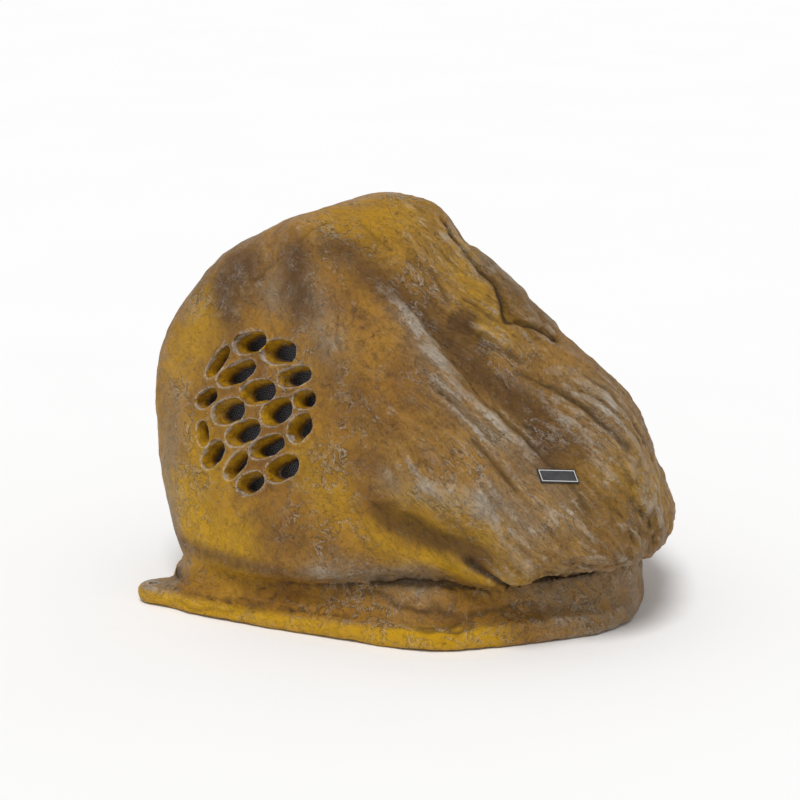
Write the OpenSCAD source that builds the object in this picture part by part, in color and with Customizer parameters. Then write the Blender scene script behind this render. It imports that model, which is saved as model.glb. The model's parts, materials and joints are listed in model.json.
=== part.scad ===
// Garden speaker shaped as a sandstone boulder: a moulded rock housing on a
// low plinth, with a driver behind a lattice of irregular cells in its front.
// Millimetres, +Z up, the cell lattice looks along -Y, the lip stands on Z = 0.

/* [Rock housing] */
// Wall of the moulded rock
wall = 8; // [6:0.5:10]
// How sharply the stone faces meet (higher is sharper)
sharpness = 12; // [9:1:16]
// Strength of the ridges and hollows on the stone faces
relief = 1; // [0.6:0.1:1.4]
// Height of the crease where the rock sits on its plinth
neck_z = 58; // [52:1:62]
// Height of the rock's middle above that crease
core_up = 85; // [82:1:88]

/* [Plinth and lip] */
// Thickness of the lip at the mounting ears
lip_t = 14; // [12:0.5:16]
// Extra thickness of the lip at its thick front corner
lip_rise = 5; // [2:0.5:8]
// Width of the ledge on top of the plinth
ledge_w = 22; // [14:1:26]
// Width of the thick rim that the base plate screws into
rim_w = 18; // [16:0.5:22]
// Radius of a mounting ear's round end
ear_r = 15; // [13:0.5:18]
// Radius of the screw hole in an ear
ear_hole_r = 4; // [2.5:0.25:5]
// Distance of the ears' holes to the left of the rock's middle
ear_x = 149; // [145:1:153]
// Distance of the front ear's hole before the rock's middle
ear_front_y = 151; // [148:1:156]
// Distance of the rear ear's hole behind the rock's middle
ear_rear_y = 143; // [138:1:148]

/* [Cell lattice] */
// Upward tilt of the face that holds the cells
face_el = 12; // [9:1:15]
// Distance of that face from the rock's middle
face_d = 134; // [130:1:138]
// Place of the cells across that face
grille_x = -52; // [-56:1:-48]
// Place of the cells up that face
grille_y = 7; // [4:1:10]
// Radius of the round field of cells
grille_r = 69; // [62:0.5:70]
// Pitch of the cells along their length
cell_pitch_l = 35.5; // [32:0.5:39]
// Pitch of the cells across their length
cell_pitch_s = 24; // [21:0.5:27]
// Width of the stone ribs between the cells
rib = 4; // [3.5:0.25:5]
// Depth from the face plane to the seat of the driver
seat_depth = 16; // [14:0.5:20]

/* [Driver] */
// Radius of the basket flange
flange_r = 84; // [82:0.5:88]
// Radius of the circle of the four driver screws
driver_bolt_r = 78; // [76.5:0.5:79.5]
// Radius of the flange opening
opening_r = 72; // [70.5:0.5:73]
// Thickness of the basket steel
basket_t = 1.5; // [1:0.1:2]
// Thickness of the perforated guard
mesh_t = 0.8; // [0.5:0.1:1.2]
// Thickness of the sealing gasket
gasket_t = 2; // [1.5:0.25:4]
// Depth of the basket from its glue shelf to the spider shelf
basket_h = 24; // [22:0.5:28]
// Radius of the cone at its outer edge
cone_r = 57; // [54:0.5:60]
// Radius of the voice coil former
coil_r = 12.8; // [11:0.2:14]
// Radius of the ring magnet
magnet_r = 43; // [39:0.5:50]
// Thickness of the ring magnet
magnet_t = 15; // [10:0.5:20]
// Thickness of the steel plates before and behind the magnet
plate_t = 5; // [4:0.5:7]
// Radius of the shank of the driver screws
driver_screw_r = 2; // [1.5:0.1:2.4]

/* [Badge] */
// Length of the bare badge plate
badge_l = 35; // [28:1:42]
// Height of the bare badge plate
badge_h = 11; // [8:0.5:14]
// Thickness of the bare badge plate
badge_t = 2.5; // [2:0.25:4]

/* [Base plate] */
// Thickness of the base plate
plate_base_t = 4; // [3:0.5:5]
// Gap below the base plate, which clears the screw heads
base_gap = 3; // [2.6:0.1:4]
// Thickness of the base gasket
base_gasket_t = 2; // [1:0.25:2.5]
// Width of the step that the base plate seats on
rebate_w = 12; // [11:0.5:14]
// Number of base screws
base_screw_n = 8; // [6:1:12]
// Radius of the shank of the base screws
base_screw_r = 2; // [1.5:0.1:2.4]

/* [Line transformer and terminals] */
// Width of the transformer's stack of steel sheets
core_w = 57; // [48:1:66]
// Height of that stack
core_h = 48; // [42:1:56]
// Thickness of that stack
core_t = 22; // [18:1:30]
// Ways of the terminal block
block_ways = 4; // [2:1:6]

/* [Cable gland] */
// Thread radius of the gland
gland_r = 8; // [6:0.5:10]
// Radius of the cable opening in the gland
gland_bore_r = 4; // [2.5:0.25:4.5]

/* [Hidden] */

// Azimuth and elevation steps of the outer stone skin and of its inner wall
SKIN_N = 72;
SKIN_M = 30;
INNER_N = 36;
INNER_M = 18;
// Clearance of fitted pieces
GAP = 0.3;
core_z = neck_z + core_up;

// Stone faces: azimuth, elevation, distance from the rock's middle
FACES = [
    [-90, face_el, face_d],
    [-35, 36, 144], [-60, -5, 165], [-5, 8, 222], [-55, -32, 174],
    [38, 28, 182], [44, 56, 200], [54, 46, 154], [36, 4, 240], [30, -28, 262],
    [90, 15, 178], [110, 80, 220], [130, 10, 165], [150, 45, 192], [165, 8, 198],
    [185, 72, 206], [208, 50, 220], [214, 20, 240], [218, -6, 216],
    [0, -84, core_up + 14]
];
// Ridges (height above 0) and hollows: a route of azimuths and elevations, width in degrees, height
RIDGES = [
    [[[-103, 57], [-76, 39], [-46, 13], [-34, -13], [-24, -28]], 9, 8],
    [[[-73, 74], [-36, 54], [-22, 30], [-12, 2]], 9, -9],
    [[[2, 78], [4, 54], [4, 26], [4, 0]], 9, 6],
    [[[20, 70], [30, 40]], 6, -9],
    [[[40, 14], [10, 10]], 20, 12],
    [[[46, 40], [40, 27]], 13, -12],
    [[[35, -14], [5, -18]], 14, 11],
    [[[20, 80], [20, 86]], 13, 9],
    [[[-22, -24], [-16, -34]], 8, 9],
    [[[-66, -16], [-48, -20]], 11, -8],
    [[[150, 60], [120, 20], [110, -10]], 12, 7],
    [[[90, 50], [75, 10]], 11, -8],
    [[[200, 30], [185, 0]], 12, -6]
];
// Sides of the plinth and of the lip: azimuth, distance
PLINTH_SIDES = [[-76, 123], [-34, 151], [15, 208], [50, 208], [128, 165], [175, 178], [220, 190]];
LIP_SIDES = [[-76, 133], [-34, 160], [15, 211], [60, 209], [128, 176], [175, 190], [220, 198]];
OUTLINE_SHARPNESS = 14;
// The ledge is widest at this azimuth and dies out to either side
LEDGE_AZ = -60;
LEDGE_SPAN = 62;
// Azimuth of the lip's thickest place
LIP_THICK_AZ = -30;

// Direction of the cells' length and of their rows
CELL_L_AZ = 27;
CELL_S_AZ = -34;
// Waviness of the cell corners
CELL_WOBBLE = 2.4;
// Share of a cell's mouth that is left at its seat
CELL_THROAT = 0.86;

// Stack behind the cells, as depths below the face plane
mesh_s = seat_depth;
gasket_s = mesh_s + mesh_t;
flange_s = gasket_s + gasket_t;
shelf_s = flange_s + 6;
spider_s = shelf_s + basket_h;
magnet_seat_s = spider_s + 10;
front_s = magnet_seat_s + basket_t;
magnet_s = front_s + plate_t;
back_s = magnet_s + magnet_t;
back_end_s = back_s + plate_t;
boss_r = flange_r + 5;
shelf_r = opening_r - 7;
spider_r = 38;
neck_s = spider_s - 4;
former_s = neck_s - 1.5;

// Seat of the base plate
base_top = base_gap + plate_base_t;
rebate_z = base_top + base_gasket_t;
base_screw_inset = rim_w - rebate_w / 2;

// Gland at the rear of the plinth
GLAND_AZ = 128;
gland_z = neck_z - 18;
gland_d = 165 - 3;
gland_wall = 9;

// Badge direction from the rock's middle and turn in its own plane
BADGE_AZ = -12;
BADGE_EL = 1;
BADGE_TURN = -14;

function unit(v) = v / norm(v);
function total(v, i = 0) = i == len(v) ? 0 : v[i] + total(v, i + 1);
function heading(az, el) = [cos(az) * cos(el), sin(az) * cos(el), sin(el)];
function wobble(i, j, k) = let (s = sin(i * 127.1 + j * 311.7 + k * 74.7) * 43.7585) s - floor(s) - 0.5;

// Stone faces as unit normals with their distance, and ridge routes as unit vectors
FACE_N = [for (f = FACES) heading(f[0], f[1])];
RIDGE_N = [for (r = RIDGES) [for (p = r[0]) heading(p[0], p[1])]];

function route_gap(d, a, b) =
    let (
        ab = b - a,
        t = min(max((d - a) * ab / (ab * ab), 0), 1)
    )
    norm(d - unit(a + t * ab));
function ridge_rise(d, k) =
    let (
        route = RIDGE_N[k],
        gap = min([for (i = [0 : len(route) - 2]) route_gap(d, route[i], route[i + 1])]),
        w = RIDGES[k][1] * PI / 180
    )
    relief * RIDGES[k][2] * exp(-pow(gap / w, 2));
// Distance of the stone's surface from its middle in direction d, with inset taken off each face
function stone_r(d, inset) =
    let (
        sums = total([for (i = [0 : len(FACES) - 1])
            pow(max(d * FACE_N[i], 0) / (FACES[i][2] - inset), sharpness)])
    )
    pow(sums, -1 / sharpness) + total([for (k = [0 : len(RIDGES) - 1]) ridge_rise(d, k)]);
function stone_point(az, el, inset = 0) =
    [0, 0, core_z] + stone_r(heading(az, el), inset) * heading(az, el);
function stone_normal(az, el) =
    unit(cross(
        stone_point(az + 3, el) - stone_point(az - 3, el),
        stone_point(az, el + 3) - stone_point(az, el - 3)
    ));

function outline_r(az, sides) =
    pow(
        total([for (s = sides) pow(max(cos(az - s[0]), 0) / s[1], OUTLINE_SHARPNESS)]),
        -1 / OUTLINE_SHARPNESS
    );
function turn_gap(az, from) = let (t = (az - from) % 360) t > 180 ? t - 360 : (t < -180 ? t + 360 : t);
function ledge_share(az) = exp(-pow(turn_gap(az, LEDGE_AZ) / LEDGE_SPAN, 4));
function lip_top(az) = lip_t + lip_rise * pow((1 + cos(az - LIP_THICK_AZ)) / 2, 2);
function ring(n, z, sides, inset, ledge = 0) = [
    for (i = [0 : n - 1])
        let (az = i * 360 / n, r = outline_r(az, sides) - inset - ledge * ledge_share(az))
        [r * cos(az), r * sin(az), z]
];
function flat_ring(n, sides, inset) = [for (p = ring(n, 0, sides, inset)) [p[0], p[1]]];

// Faces of a tube of rings with n points each and m rings, with flat or pointed ends
function wall_faces(n, m) = [
    for (j = [0 : m - 2], i = [0 : n - 1], k = [0, 1])
        let (a = j * n + i, b = j * n + (i + 1) % n)
        k == 0 ? [a, b + n, b] : [a, a + n, b + n]
];
module ring_stack(rings) {
    n = len(rings[0]);
    m = len(rings);
    polyhedron(
        [for (r = rings, p = r) p],
        concat(
            wall_faces(n, m),
            [[for (i = [0 : n - 1]) i]],
            [[for (i = [n - 1 : -1 : 0]) (m - 1) * n + i]]
        ),
        convexity = 8
    );
}
// The rock above its plinth
module boulder(n, m, inset) {
    rings = [
        for (j = [1 : m - 1])
            [for (i = [0 : n - 1]) stone_point(i * 360 / n, -90 + j * 180 / m, inset)]
    ];
    foot = stone_point(0, -90, inset);
    peak = stone_point(0, 90, inset);
    count = (m - 1) * n;
    polyhedron(
        concat([for (r = rings, p = r) p], [foot, peak]),
        concat(
            wall_faces(n, m - 1),
            [for (i = [0 : n - 1]) [i, (i + 1) % n, count]],
            [for (i = [0 : n - 1]) [count - n + (i + 1) % n, count - n + i, count + 1]]
        ),
        convexity = 8
    );
}
module plinth() {
    ring_stack([
        ring(SKIN_N, 2, PLINTH_SIDES, 0),
        ring(SKIN_N, lip_t + 4, PLINTH_SIDES, 0),
        ring(SKIN_N, neck_z - 24, PLINTH_SIDES, 0, 2),
        ring(SKIN_N, neck_z - 12, PLINTH_SIDES, 1, ledge_w * 0.35),
        ring(SKIN_N, neck_z - 2, PLINTH_SIDES, 3, ledge_w),
        ring(SKIN_N, neck_z + 14, PLINTH_SIDES, 7, ledge_w + 22),
        ring(SKIN_N, neck_z + 34, PLINTH_SIDES, 40, ledge_w + 30)
    ]);
}
module lip() {
    n = SKIN_N;
    tops = [for (p = [0 : n - 1]) lip_top(p * 360 / n)];
    function lip_ring(inset, drop) = [
        for (i = [0 : n - 1])
            let (az = i * 360 / n, r = outline_r(az, LIP_SIDES) - inset)
            [r * cos(az), r * sin(az), tops[i] - drop]
    ];
    ring_stack([
        ring(n, 0, LIP_SIDES, 2),
        ring(n, 3, LIP_SIDES, 0),
        lip_ring(0, 4),
        lip_ring(1.5, 1.2),
        lip_ring(5, 0),
        ring(n, lip_t - 1, LIP_SIDES, 60)
    ]);
}
module soft_disc(r, h) {
    cylinder(r1 = r - 2, r2 = r, h = 2, $fn = 32);
    translate([0, 0, 2]) cylinder(r = r, h = h - 5, $fn = 32);
    translate([0, 0, h - 3]) cylinder(r1 = r, r2 = r - 3, h = 3, $fn = 32);
}
module ear(y) {
    hull() {
        translate([-ear_x, y, 0]) soft_disc(ear_r, lip_t);
        translate([-ear_x * 0.76, y * 0.76, 0]) soft_disc(ear_r + 10, lip_t);
    }
}
// Frame on the face of the cells: Z looks out of the rock, Y up the face
module on_face() {
    translate([0, 0, core_z]) rotate([90 - face_el, 0, 0]) translate([grille_x, grille_y, face_d]) children();
}
// The same place with Z as the depth behind the face
module behind_face() {
    on_face() rotate([180, 0, 0]) children();
}
// Corner of the cell lattice
function cell_corner(i, j) =
    i * cell_pitch_l * [cos(CELL_L_AZ), sin(CELL_L_AZ)] + j * cell_pitch_s * [cos(CELL_S_AZ), sin(CELL_S_AZ)]
    + CELL_WOBBLE * [wobble(i, j, 1), wobble(i, j, 2)];
CELLS = [
    for (i = [-3 : 2], j = [-4 : 3])
        let (mid = (cell_corner(i, j) + cell_corner(i + 1, j + 1)) / 2)
        if (norm(mid) < grille_r - 8) [i, j, mid]
];
module cell(i, j) {
    offset(r = 6, $fn = 20) offset(delta = -6 - rib / 2) intersection() {
        polygon([cell_corner(i, j), cell_corner(i + 1, j), cell_corner(i + 1, j + 1), cell_corner(i, j + 1)]);
        circle(r = grille_r + rib / 2, $fn = 64);
    }
}
module cells() {
    reach = 40;
    for (c = CELLS) translate([c[2][0], c[2][1], 0]) {
        translate([0, 0, -seat_depth]) linear_extrude(height = seat_depth, scale = 1 / CELL_THROAT)
            scale(CELL_THROAT) translate(-c[2]) cell(c[0], c[1]);
        translate([0, 0, -0.01]) linear_extrude(height = reach) translate(-c[2]) cell(c[0], c[1]);
        translate([0, 0, -seat_depth - 1]) linear_extrude(height = 2)
            scale(CELL_THROAT) translate(-c[2]) cell(c[0], c[1]);
    }
}
// Places of the four driver screws
module at_driver_screws() {
    for (a = [45 : 90 : 315]) rotate(a) translate([driver_bolt_r, 0, 0]) children();
}
module at_base_screws() {
    for (k = [0 : base_screw_n - 1]) {
        az = (k + 0.5) * 360 / base_screw_n;
        r = outline_r(az, PLINTH_SIDES) - base_screw_inset;
        translate([r * cos(az), r * sin(az), 0]) children();
    }
}
module at_gland() {
    rotate(GLAND_AZ) translate([gland_d, 0, gland_z]) rotate([0, 90, 0]) children();
}
module hollow() {
    difference() {
        union() {
            boulder(INNER_N, INNER_M, wall);
            ring_stack([
                ring(INNER_N, -1, PLINTH_SIDES, rim_w),
                ring(INNER_N, lip_t + 3, PLINTH_SIDES, rim_w),
                ring(INNER_N, lip_t + 12, PLINTH_SIDES, wall + 2, 4),
                ring(INNER_N, neck_z - 14, PLINTH_SIDES, wall + 3, ledge_w * 0.35 + 2),
                ring(INNER_N, neck_z - 2, PLINTH_SIDES, wall + 6, ledge_w + 3),
                ring(INNER_N, neck_z + 20, PLINTH_SIDES, wall + 12, ledge_w + 26)
            ]);
        }
        on_face() translate([0, 0, -seat_depth]) cylinder(r = boss_r, h = 90, $fn = 64);
        at_gland() translate([0, 0, -gland_wall]) cylinder(r = gland_r * 2 + 3, h = 40, $fn = 32);
    }
}
module rock_body() {
    difference() {
        union() {
            boulder(SKIN_N, SKIN_M, 0);
            plinth();
            lip();
            ear(-ear_front_y);
            ear(ear_rear_y);
        }
        hollow();
        on_face() cells();
        at_gland() cylinder(r = gland_r * 2 + 2, h = 40, $fn = 32);
        translate([0, 0, -1])
            linear_extrude(height = rebate_z + 1) polygon(flat_ring(INNER_N, PLINTH_SIDES, rim_w - rebate_w));
        on_badge() translate([0, 0, -1]) badge_blank(GAP, 20);
    }
}

// Overall outline of the lip, the ears and the rock, which sets the origin
SPAN = concat(
    [for (i = [0 : SKIN_N - 1], j = [8 : SKIN_M - 4]) stone_point(i * 360 / SKIN_N, -90 + j * 180 / SKIN_M)],
    ring(SKIN_N, 0, LIP_SIDES, 0),
    [[-ear_x - ear_r, 0, 0], [0, -ear_front_y - ear_r, 0], [0, ear_rear_y + ear_r, 0]]
);
shift = -[
    max([for (p = SPAN) p[0]]) + min([for (p = SPAN) p[0]]),
    max([for (p = SPAN) p[1]]) + min([for (p = SPAN) p[1]]),
    0
] / 2;
module placed() {
    translate(shift) children();
}

module rock_shell() {
    color("#936c37") placed() difference() {
        resize([0, 0, 0]) rock_body();
        for (y = [-ear_front_y, ear_rear_y]) translate([-ear_x, y, -1]) cylinder(r = ear_hole_r, h = 40, $fn = 48);
        behind_face() translate([0, 0, -5]) at_driver_screws()
            translate([0, 0, 10]) cylinder(r = driver_screw_r + 0.1, h = seat_depth + 2, $fn = 24);
        at_base_screws() translate([0, 0, -1]) cylinder(r = base_screw_r + 0.1, h = rebate_z + 13, $fn = 24);
        at_gland() translate([0, 0, -30]) cylinder(r = gland_r + GAP, h = 60, $fn = 48);
    }
}

// Frame on the badge's seat: Z out of the stone
module on_badge() {
    n = stone_normal(BADGE_AZ, BADGE_EL);
    az = atan2(n[1], n[0]);
    el = asin(n[2]);
    translate(stone_point(BADGE_AZ, BADGE_EL)) rotate([0, 0, az]) rotate([0, 90 - el, 0]) rotate(90 + BADGE_TURN)
        children();
}
module badge_blank(grow, h) {
    linear_extrude(height = h) offset(delta = grow) polygon([
        [-badge_l / 2 + 2, -badge_h / 2], [badge_l / 2 + 2, -badge_h / 2],
        [badge_l / 2 - 2, badge_h / 2], [-badge_l / 2 - 2, badge_h / 2]
    ]);
}
module badge_plate() {
    color("#1c1c1e") placed() on_badge() translate([0, 0, -1]) linear_extrude(height = badge_t) polygon([
        [-badge_l / 2 + 2, -badge_h / 2], [badge_l / 2 + 2, -badge_h / 2],
        [badge_l / 2 - 2, badge_h / 2], [-badge_l / 2 - 2, badge_h / 2]
    ]);
}

module tube(r_in, r_out, z, h) {
    translate([0, 0, z]) difference() {
        cylinder(r = r_out, h = h, $fn = 96);
        translate([0, 0, -1]) cylinder(r = r_in, h = h + 2, $fn = 96);
    }
}
module speaker_mesh() {
    color("#26262a") placed() behind_face() difference() {
        translate([0, 0, mesh_s]) cylinder(r = flange_r, h = mesh_t, $fn = 96);
        at_driver_screws() translate([0, 0, mesh_s - 1]) cylinder(r = driver_screw_r + GAP, h = mesh_t + 2, $fn = 24);
    }
}
module mesh_gasket() {
    color("#161616") placed() behind_face() difference() {
        tube(opening_r, flange_r, gasket_s, gasket_t);
        at_driver_screws() translate([0, 0, gasket_s - 1])
            cylinder(r = driver_screw_r + GAP, h = gasket_t + 2, $fn = 24);
    }
}
module driver_basket() {
    path = [
        [flange_r, flange_s], [opening_r, flange_s], [opening_r, shelf_s], [shelf_r, shelf_s],
        [spider_r + 8, spider_s], [spider_r, spider_s], [spider_r, magnet_seat_s], [coil_r + 7, magnet_seat_s]
    ];
    last = len(path) - 1;
    under = [
        for (i = [last : -1 : 0])
            [i == last ? path[i][0] : min(path[i][0] + basket_t, flange_r), path[i][1] + basket_t]
    ];
    color("#2b2c2f") placed() behind_face() difference() {
        rotate_extrude($fn = 96) polygon(concat(path, under));
        at_driver_screws() translate([0, 0, flange_s - 1])
            cylinder(r = driver_screw_r + GAP, h = basket_t + 2, $fn = 24);
        for (a = [0 : 60 : 300]) rotate(a)
            translate([spider_r + 6, -13, shelf_s + basket_t + 3]) cube([40, 26, basket_h - 9]);
    }
}
module cone_surround() {
    roll = (shelf_r - cone_r - 1) / 2;
    mid = cone_r + 0.5 + roll;
    t = 0.8;
    top = shelf_s - GAP - t;
    color("#1b1b1b") placed() behind_face() rotate_extrude($fn = 96) polygon(concat(
        [[cone_r - 4, top], [mid - roll, top]],
        [for (a = [170 : -10 : 10]) [mid + roll * cos(a), top - roll * sin(a)]],
        [[mid + roll, top], [opening_r - GAP, top], [opening_r - GAP, top + t], [mid + roll - t, top + t]],
        [for (a = [10 : 10 : 170]) [mid + (roll - t) * cos(a), top + t - (roll - t) * sin(a) - 0.1]],
        [[mid - roll + t, top + t], [cone_r - 4, top + t]]
    ));
}
module speaker_cone() {
    t = 0.8;
    color("#2a2a2c") placed() behind_face() rotate_extrude($fn = 96) polygon([
        [cone_r, shelf_s], [cone_r, shelf_s + t], [cone_r - 4, shelf_s + t],
        [coil_r + 3, neck_s + t], [coil_r + GAP, neck_s + t], [coil_r + GAP, neck_s],
        [coil_r + 2.6, neck_s], [cone_r - 4, shelf_s]
    ]);
}
module whizzer_cone() {
    t = 0.6;
    rise = 9;
    color("#3a3a3c") placed() behind_face() rotate_extrude($fn = 96) polygon([
        [coil_r + 1 + rise * 1.4, neck_s - GAP - t - rise], [coil_r + 2 + rise * 1.4, neck_s - GAP - t - rise],
        [coil_r + 2, neck_s - GAP], [coil_r + GAP, neck_s - GAP], [coil_r + GAP, neck_s - GAP - t],
        [coil_r + 1.4, neck_s - GAP - t]
    ]);
}
module dust_cap() {
    t = 0.8;
    r = coil_r;
    rise = 5;
    bend = (r * r + rise * rise) / (2 * rise);
    sweep = asin(r / bend);
    color("#222224") placed() behind_face() translate([0, 0, former_s]) rotate_extrude($fn = 96) polygon(concat(
        [for (k = [0 : 8]) [bend * sin(sweep * k / 8), bend * (1 - cos(sweep * k / 8)) - rise - t]],
        [for (k = [8 : -1 : 0]) [bend * sin(sweep * k / 8), bend * (1 - cos(sweep * k / 8)) - rise]]
    ));
}
module spider() {
    t = 0.7;
    inner = coil_r + GAP;
    waves = 5;
    steps = waves * 6;
    span = spider_r + 7 - inner;
    function wave(k) = k < 3 || inner + span * k / steps > spider_r - 2 ? 0 : 1.1 * sin(k * 60);
    low = spider_s - GAP - t;
    color("#b08a4a") placed() behind_face() rotate_extrude($fn = 96) polygon(concat(
        [for (k = [0 : steps]) [inner + span * k / steps, low + wave(k)]],
        [for (k = [steps : -1 : 0]) [inner + span * k / steps, low + t + wave(k)]]
    ));
}
module voice_coil() {
    color("#b4683a") placed() behind_face() union() {
        tube(coil_r - 0.4, coil_r, former_s, magnet_s + 1 - former_s);
        tube(coil_r - 0.1, coil_r + 0.6, front_s - 2, plate_t + 3);
    }
}
module front_plate() {
    color("#9a9da1") placed() behind_face() tube(coil_r + 1.3, magnet_r - 6, front_s, plate_t);
}
module ring_magnet() {
    color("#3c3d40") placed() behind_face() difference() {
        translate([0, 0, magnet_s]) cylinder(r = magnet_r, h = magnet_t, $fn = 96);
        translate([0, 0, magnet_s - 1]) cylinder(r = coil_r + 8, h = magnet_t + 2, $fn = 96);
    }
}
module back_plate() {
    pole_r = coil_r - 0.8;
    color("#9a9da1") placed() behind_face() rotate_extrude($fn = 96) polygon([
        [0, front_s], [pole_r, front_s], [pole_r, back_s], [magnet_r - 5, back_s],
        [magnet_r - 5, back_end_s - 1], [magnet_r - 6, back_end_s], [0, back_end_s]
    ]);
}
// Tag board on the basket's lower wall, above the magnet
module terminal_strip() {
    r = spider_r + basket_t + 0.1;
    color("#8a6a3a") placed() behind_face() rotate(-90) translate([r, 0, spider_s + 2.5]) {
        translate([0, -9, 0]) cube([1.6, 18, 9]);
        for (y = [-5, 5]) translate([1.6, y - 1.5, 3]) cube([6, 3, 0.8]);
    }
}
module pan_screw(r, l, head_h) {
    cylinder(r = r, h = l, $fn = 24);
    translate([0, 0, l]) difference() {
        cylinder(r1 = r * 2.1, r2 = r * 1.5, h = head_h, $fn = 32);
        for (a = [0, 90]) rotate(a) translate([-r, -0.4, head_h * 0.5]) cube([r * 2, 0.8, head_h]);
    }
}
module driver_screws() {
    length = 14;
    color("#b9bcc0") placed() behind_face() at_driver_screws()
        translate([0, 0, flange_s + basket_t - length]) pan_screw(driver_screw_r, length, 3);
}

module base_plate() {
    color("#3b3d40") placed() difference() {
        translate([0, 0, base_gap]) linear_extrude(height = plate_base_t)
            polygon(flat_ring(INNER_N, PLINTH_SIDES, rim_w - rebate_w + GAP * 2));
        at_base_screws() translate([0, 0, base_gap - 1])
            cylinder(r = base_screw_r + GAP, h = plate_base_t + 2, $fn = 24);
        at_transformer() at_bracket_screws() translate([0, 0, -plate_base_t - 1])
            cylinder(r = 1.6, h = plate_base_t + 2, $fn = 24);
        at_block() at_block_screws() translate([0, 0, -plate_base_t - 1])
            cylinder(r = 1.6, h = plate_base_t + 2, $fn = 24);
    }
}
module base_gasket() {
    color("#161616") placed() difference() {
        translate([0, 0, base_top]) linear_extrude(height = base_gasket_t) difference() {
            polygon(flat_ring(INNER_N, PLINTH_SIDES, rim_w - rebate_w + GAP * 2));
            polygon(flat_ring(INNER_N, PLINTH_SIDES, rim_w));
        }
        at_base_screws() translate([0, 0, base_top - 1])
            cylinder(r = base_screw_r + GAP, h = base_gasket_t + 2, $fn = 24);
    }
}
module base_screws() {
    length = plate_base_t + base_gasket_t + 10;
    color("#b9bcc0") placed() at_base_screws()
        translate([0, 0, base_gap + length]) rotate([180, 0, 0]) pan_screw(base_screw_r, length, 2.4);
}

// Line transformer on the base plate
bracket_t = 1.5;
bobbin_leg = core_w / 3;
foot_l = 12;
module at_transformer() {
    translate([40, 45, base_top]) rotate(20) children();
}
module at_bracket_screws() {
    for (s = [-1, 1]) translate([s * (core_w / 2 + bracket_t + foot_l / 2 + GAP), 0, 0]) children();
}
module transformer_core() {
    side = core_w / 6;
    color("#5b5d60") placed() at_transformer() translate([0, 0, GAP]) difference() {
        translate([-core_w / 2, -core_t / 2, 0]) cube([core_w, core_t, core_h]);
        for (s = [-1, 1]) translate([s * core_w / 4 - core_w / 12, -core_t, side])
            cube([core_w / 6, core_t * 2, core_h - side * 2]);
    }
}
module transformer_winding() {
    side = core_w / 6;
    h = core_h - side * 2 - GAP * 2;
    color("#c9a24a") placed() at_transformer() translate([0, 0, side + GAP * 2]) difference() {
        linear_extrude(height = h) offset(r = 2, $fn = 24)
            square([core_w * 2 / 3 - GAP * 2 - 4, core_t + core_w / 3 - 4], center = true);
        translate([-core_w / 6 - GAP, -core_t / 2 - GAP, -1]) cube([core_w / 3 + GAP * 2, core_t + GAP * 2, h + 2]);
    }
}
module transformer_bracket() {
    w = core_w + GAP * 2;
    strap = core_t * 0.7;
    color("#b9bcc0") placed() at_transformer() difference() {
        union() {
            for (s = [-1, 1]) {
                translate([s * (w / 2 + bracket_t / 2) - bracket_t / 2, -strap / 2, 0])
                    cube([bracket_t, strap, core_h + GAP * 2 + bracket_t]);
                translate([s * (w / 2 + foot_l / 2 + bracket_t / 2) - foot_l / 2 - bracket_t / 2, -strap / 2, 0])
                    cube([foot_l + bracket_t, strap, bracket_t]);
            }
            translate([-w / 2 - bracket_t, -strap / 2, core_h + GAP * 2]) cube([w + bracket_t * 2, strap, bracket_t]);
        }
        at_bracket_screws() translate([0, 0, -1]) cylinder(r = 1.8, h = bracket_t + 2, $fn = 24);
    }
}
module transformer_screws() {
    length = bracket_t + plate_base_t - 0.5;
    color("#b9bcc0") placed() at_transformer() at_bracket_screws()
        translate([0, 0, bracket_t - length]) pan_screw(1.5, length, 2);
}

// Terminal block on the base plate, near the gland
way = 10;
block_l = block_ways * way + 16;
module at_block() {
    translate([-55, 70, base_top]) rotate(GLAND_AZ - 90) children();
}
module at_block_screws() {
    for (s = [-1, 1]) translate([s * (block_l / 2 - 4), 0, 0]) children();
}
module at_ways() {
    for (k = [0 : block_ways - 1]) translate([(k - (block_ways - 1) / 2) * way, 0, 0]) children();
}
module terminal_block() {
    color("#2a2a2a") placed() at_block() difference() {
        union() {
            translate([-block_l / 2, -9, 0]) cube([block_l, 18, 4]);
            translate([-block_ways * way / 2 - 1, -7, 0]) cube([block_ways * way + 2, 14, 14]);
        }
        at_ways() translate([-3.5, -8, 8]) cube([7, 16, 8]);
        at_block_screws() translate([0, 0, -1]) cylinder(r = 1.8, h = 8, $fn = 24);
    }
}
module terminal_clamps() {
    color("#c8a95a") placed() at_block() at_ways() translate([0, 0, 8]) {
        translate([-3, -6, 0]) cube([6, 12, 1]);
        for (y = [-3, 3]) translate([0, y, 1]) difference() {
            cylinder(r = 2.4, h = 2.4, $fn = 24);
            translate([-3, -0.4, 1.4]) cube([6, 0.8, 2]);
        }
    }
}
module block_screws() {
    length = 4 + plate_base_t - 0.5;
    color("#b9bcc0") placed() at_block() at_block_screws()
        translate([0, 0, 4 - length]) pan_screw(1.5, length, 2);
}

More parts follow.
